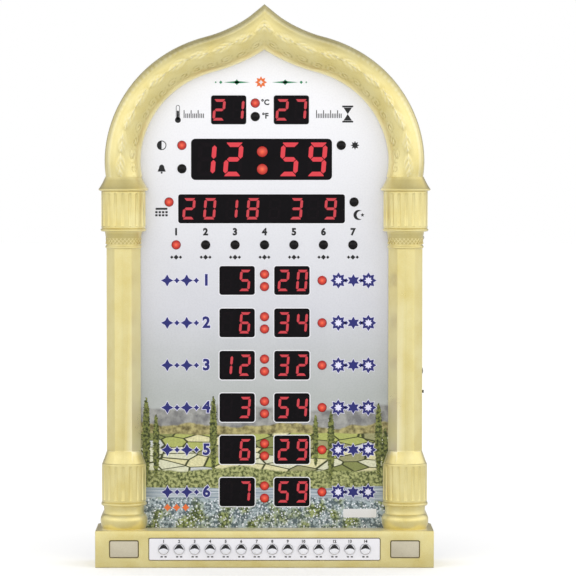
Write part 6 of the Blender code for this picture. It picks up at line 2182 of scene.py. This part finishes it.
class CLOCK_OT_stage(bpy.types.Operator):
    """Sets up the floor, the studio light and the camera"""

    bl_idname = "clock.stage"
    bl_label = "Stage"

    def execute(self, context):
        look = context.scene.clock_stage
        deselect_all()
        bpy.ops.mesh.primitive_grid_add(x_subdivisions=8, y_subdivisions=8, size=12, location=(0, 0, 0))
        floor = context.object
        floor.name = "studio_floor"
        floor_material = moulded_material(
            "floor_paper", look.floor_colour, tuple(0.97 * value for value in look.floor_colour), (0.7, 0.8), patch=3.0,
            Specular_IOR_Level=0.0,
        )
        floor.data.materials.append(floor_material)
        tree = floor_material.node_tree
        shader, output = tree.nodes["Principled BSDF"], tree.nodes["Material Output"]
        mirrored = add_node(tree, "ShaderNodeBsdfDiffuse", {"Color": (0.46, 0.46, 0.46, 1)})
        path = add_node(tree, "ShaderNodeLightPath")
        mixer = add_node(tree, "ShaderNodeMixShader")
        tree.links.new(path.outputs["Is Glossy Ray"], mixer.inputs["Fac"])
        tree.links.new(shader.outputs[0], mixer.inputs[1])
        tree.links.new(mirrored.outputs[0], mixer.inputs[2])
        tree.links.new(mixer.outputs[0], output.inputs["Surface"])

        middle = (0, 0, 0.2)
        power = look.lamp_power
        area_lamp("left_lamp", (-1.2, -1.3, 0.8), middle, (0.8, 1.4), power)
        area_lamp("right_lamp", (1.4, -0.9, 0.7), middle, (0.8, 1.4), power * 1.1)
        area_lamp("top_lamp", (0, -0.5, 1.7), middle, (1.6, 0.8), power * 0.3)

        # The room: white to the camera and for the soft light, with a darker front in reflections
        world = bpy.data.worlds.new("studio")
        context.scene.world = world
        world.use_nodes = True
        tree = world.node_tree
        soft = tree.nodes["Background"]
        soft.inputs["Color"].default_value = (1, 1, 1, 1)
        soft.inputs["Strength"].default_value = look.room_light
        direction = add_node(tree, "ShaderNodeTexCoord")
        parts = add_node(tree, "ShaderNodeSeparateXYZ")
        tree.links.new(direction.outputs["Generated"], parts.inputs["Vector"])
        backwards = math_node(tree, "MULTIPLY", parts.outputs["Y"], -1.0)
        azimuth = math_node(tree, "ARCTAN2", parts.outputs["X"], backwards)
        turns = (
            (-180, 0.05), (-142, 0.1), (-120, 0.7), (-80, 0.95), (-50, 1.25), (-25, 1.15), (0, 0.98),
            (25, 1.15), (50, 1.3), (80, 1.2), (120, 1.05), (142, 0.15), (180, 0.05),
        )
        stops = [((degrees + 180) / 360, (value, value, value)) for degrees, value in turns]
        walls = colour_ramp(tree, map_range(tree, azimuth, -math.pi, math.pi), stops)
        height = math_node(tree, "ABSOLUTE", parts.outputs["Z"])
        levels = map_range(tree, height, 0.35, 0.9, 1.0, 0.35, smooth=True)
        walls_light = math_node(tree, "MULTIPLY", walls, levels)
        reflected = add_node(tree, "ShaderNodeBackground", {"Color": (1, 1, 1, 1)})
        tree.links.new(walls_light, reflected.inputs["Strength"])
        seen = add_node(tree, "ShaderNodeBackground", {"Color": (1, 1, 1, 1), "Strength": 1.0})
        path = add_node(tree, "ShaderNodeLightPath")
        rooms = soft
        for ray, background in (("Is Glossy Ray", reflected), ("Is Camera Ray", seen)):
            mixer = add_node(tree, "ShaderNodeMixShader")
            tree.links.new(path.outputs[ray], mixer.inputs["Fac"])
            tree.links.new(rooms.outputs[0], mixer.inputs[1])
            tree.links.new(background.outputs["Background"], mixer.inputs[2])
            rooms = mixer
        tree.links.new(rooms.outputs[0], tree.nodes["World Output"].inputs["Surface"])

        deselect_all()
        pitch = math.atan2(look.height - look.aim_height, look.distance)
        bpy.ops.object.camera_add(
            location=(0, -look.distance, look.height), rotation=(math.pi / 2 - pitch, 0, 0)
        )
        camera = context.object
        camera.name = "photo_camera"
        camera.data.sensor_width = 36
        camera.data.lens = look.lens
        camera.data.shift_x = look.shift
        context.scene.camera = camera
        context.scene.view_settings.view_transform = "Standard"
        return {"FINISHED"}


class CLOCK_PT_panel(bpy.types.Panel):
    """Lists the clock's pieces in the sidebar"""

    bl_idname = "CLOCK_PT_panel"
    bl_label = "Arched LED Clock"
    bl_space_type = "VIEW_3D"
    bl_region_type = "UI"
    bl_category = "Clock"

    def draw(self, context):
        for operator in OPERATORS:
            self.layout.operator(operator.bl_idname)


OPERATORS = (
    CLOCK_OT_stage,
    CLOCK_OT_columns,
    CLOCK_OT_arch,
    CLOCK_OT_plinth,
    CLOCK_OT_face,
    CLOCK_OT_marks,
    CLOCK_OT_displays,
    CLOCK_OT_lights,
    CLOCK_OT_keys,
    CLOCK_OT_cover,
    CLOCK_OT_screws,
    CLOCK_OT_controls,
    CLOCK_OT_boards,
)
SETTINGS = (
    ("clock_case", CaseSettings),
    ("clock_face", FaceSettings),
    ("clock_fittings", FittingSettings),
    ("clock_stage", StageSettings),
)
CLASSES = (*(kind for name, kind in SETTINGS), *OPERATORS, CLOCK_PT_panel)


def register():
    for kind in CLASSES:
        bpy.utils.register_class(kind)
    for name, kind in SETTINGS:
        setattr(bpy.types.Scene, name, bpy.props.PointerProperty(type=kind))


def unregister():
    for name, kind in SETTINGS:
        delattr(bpy.types.Scene, name)
    for kind in reversed(CLASSES):
        bpy.utils.unregister_class(kind)


def main():
    register()
    for operator in OPERATORS:
        category, name = operator.bl_idname.split(".")
        getattr(getattr(bpy.ops, category), name)()


if __name__ == "__main__":
    main()
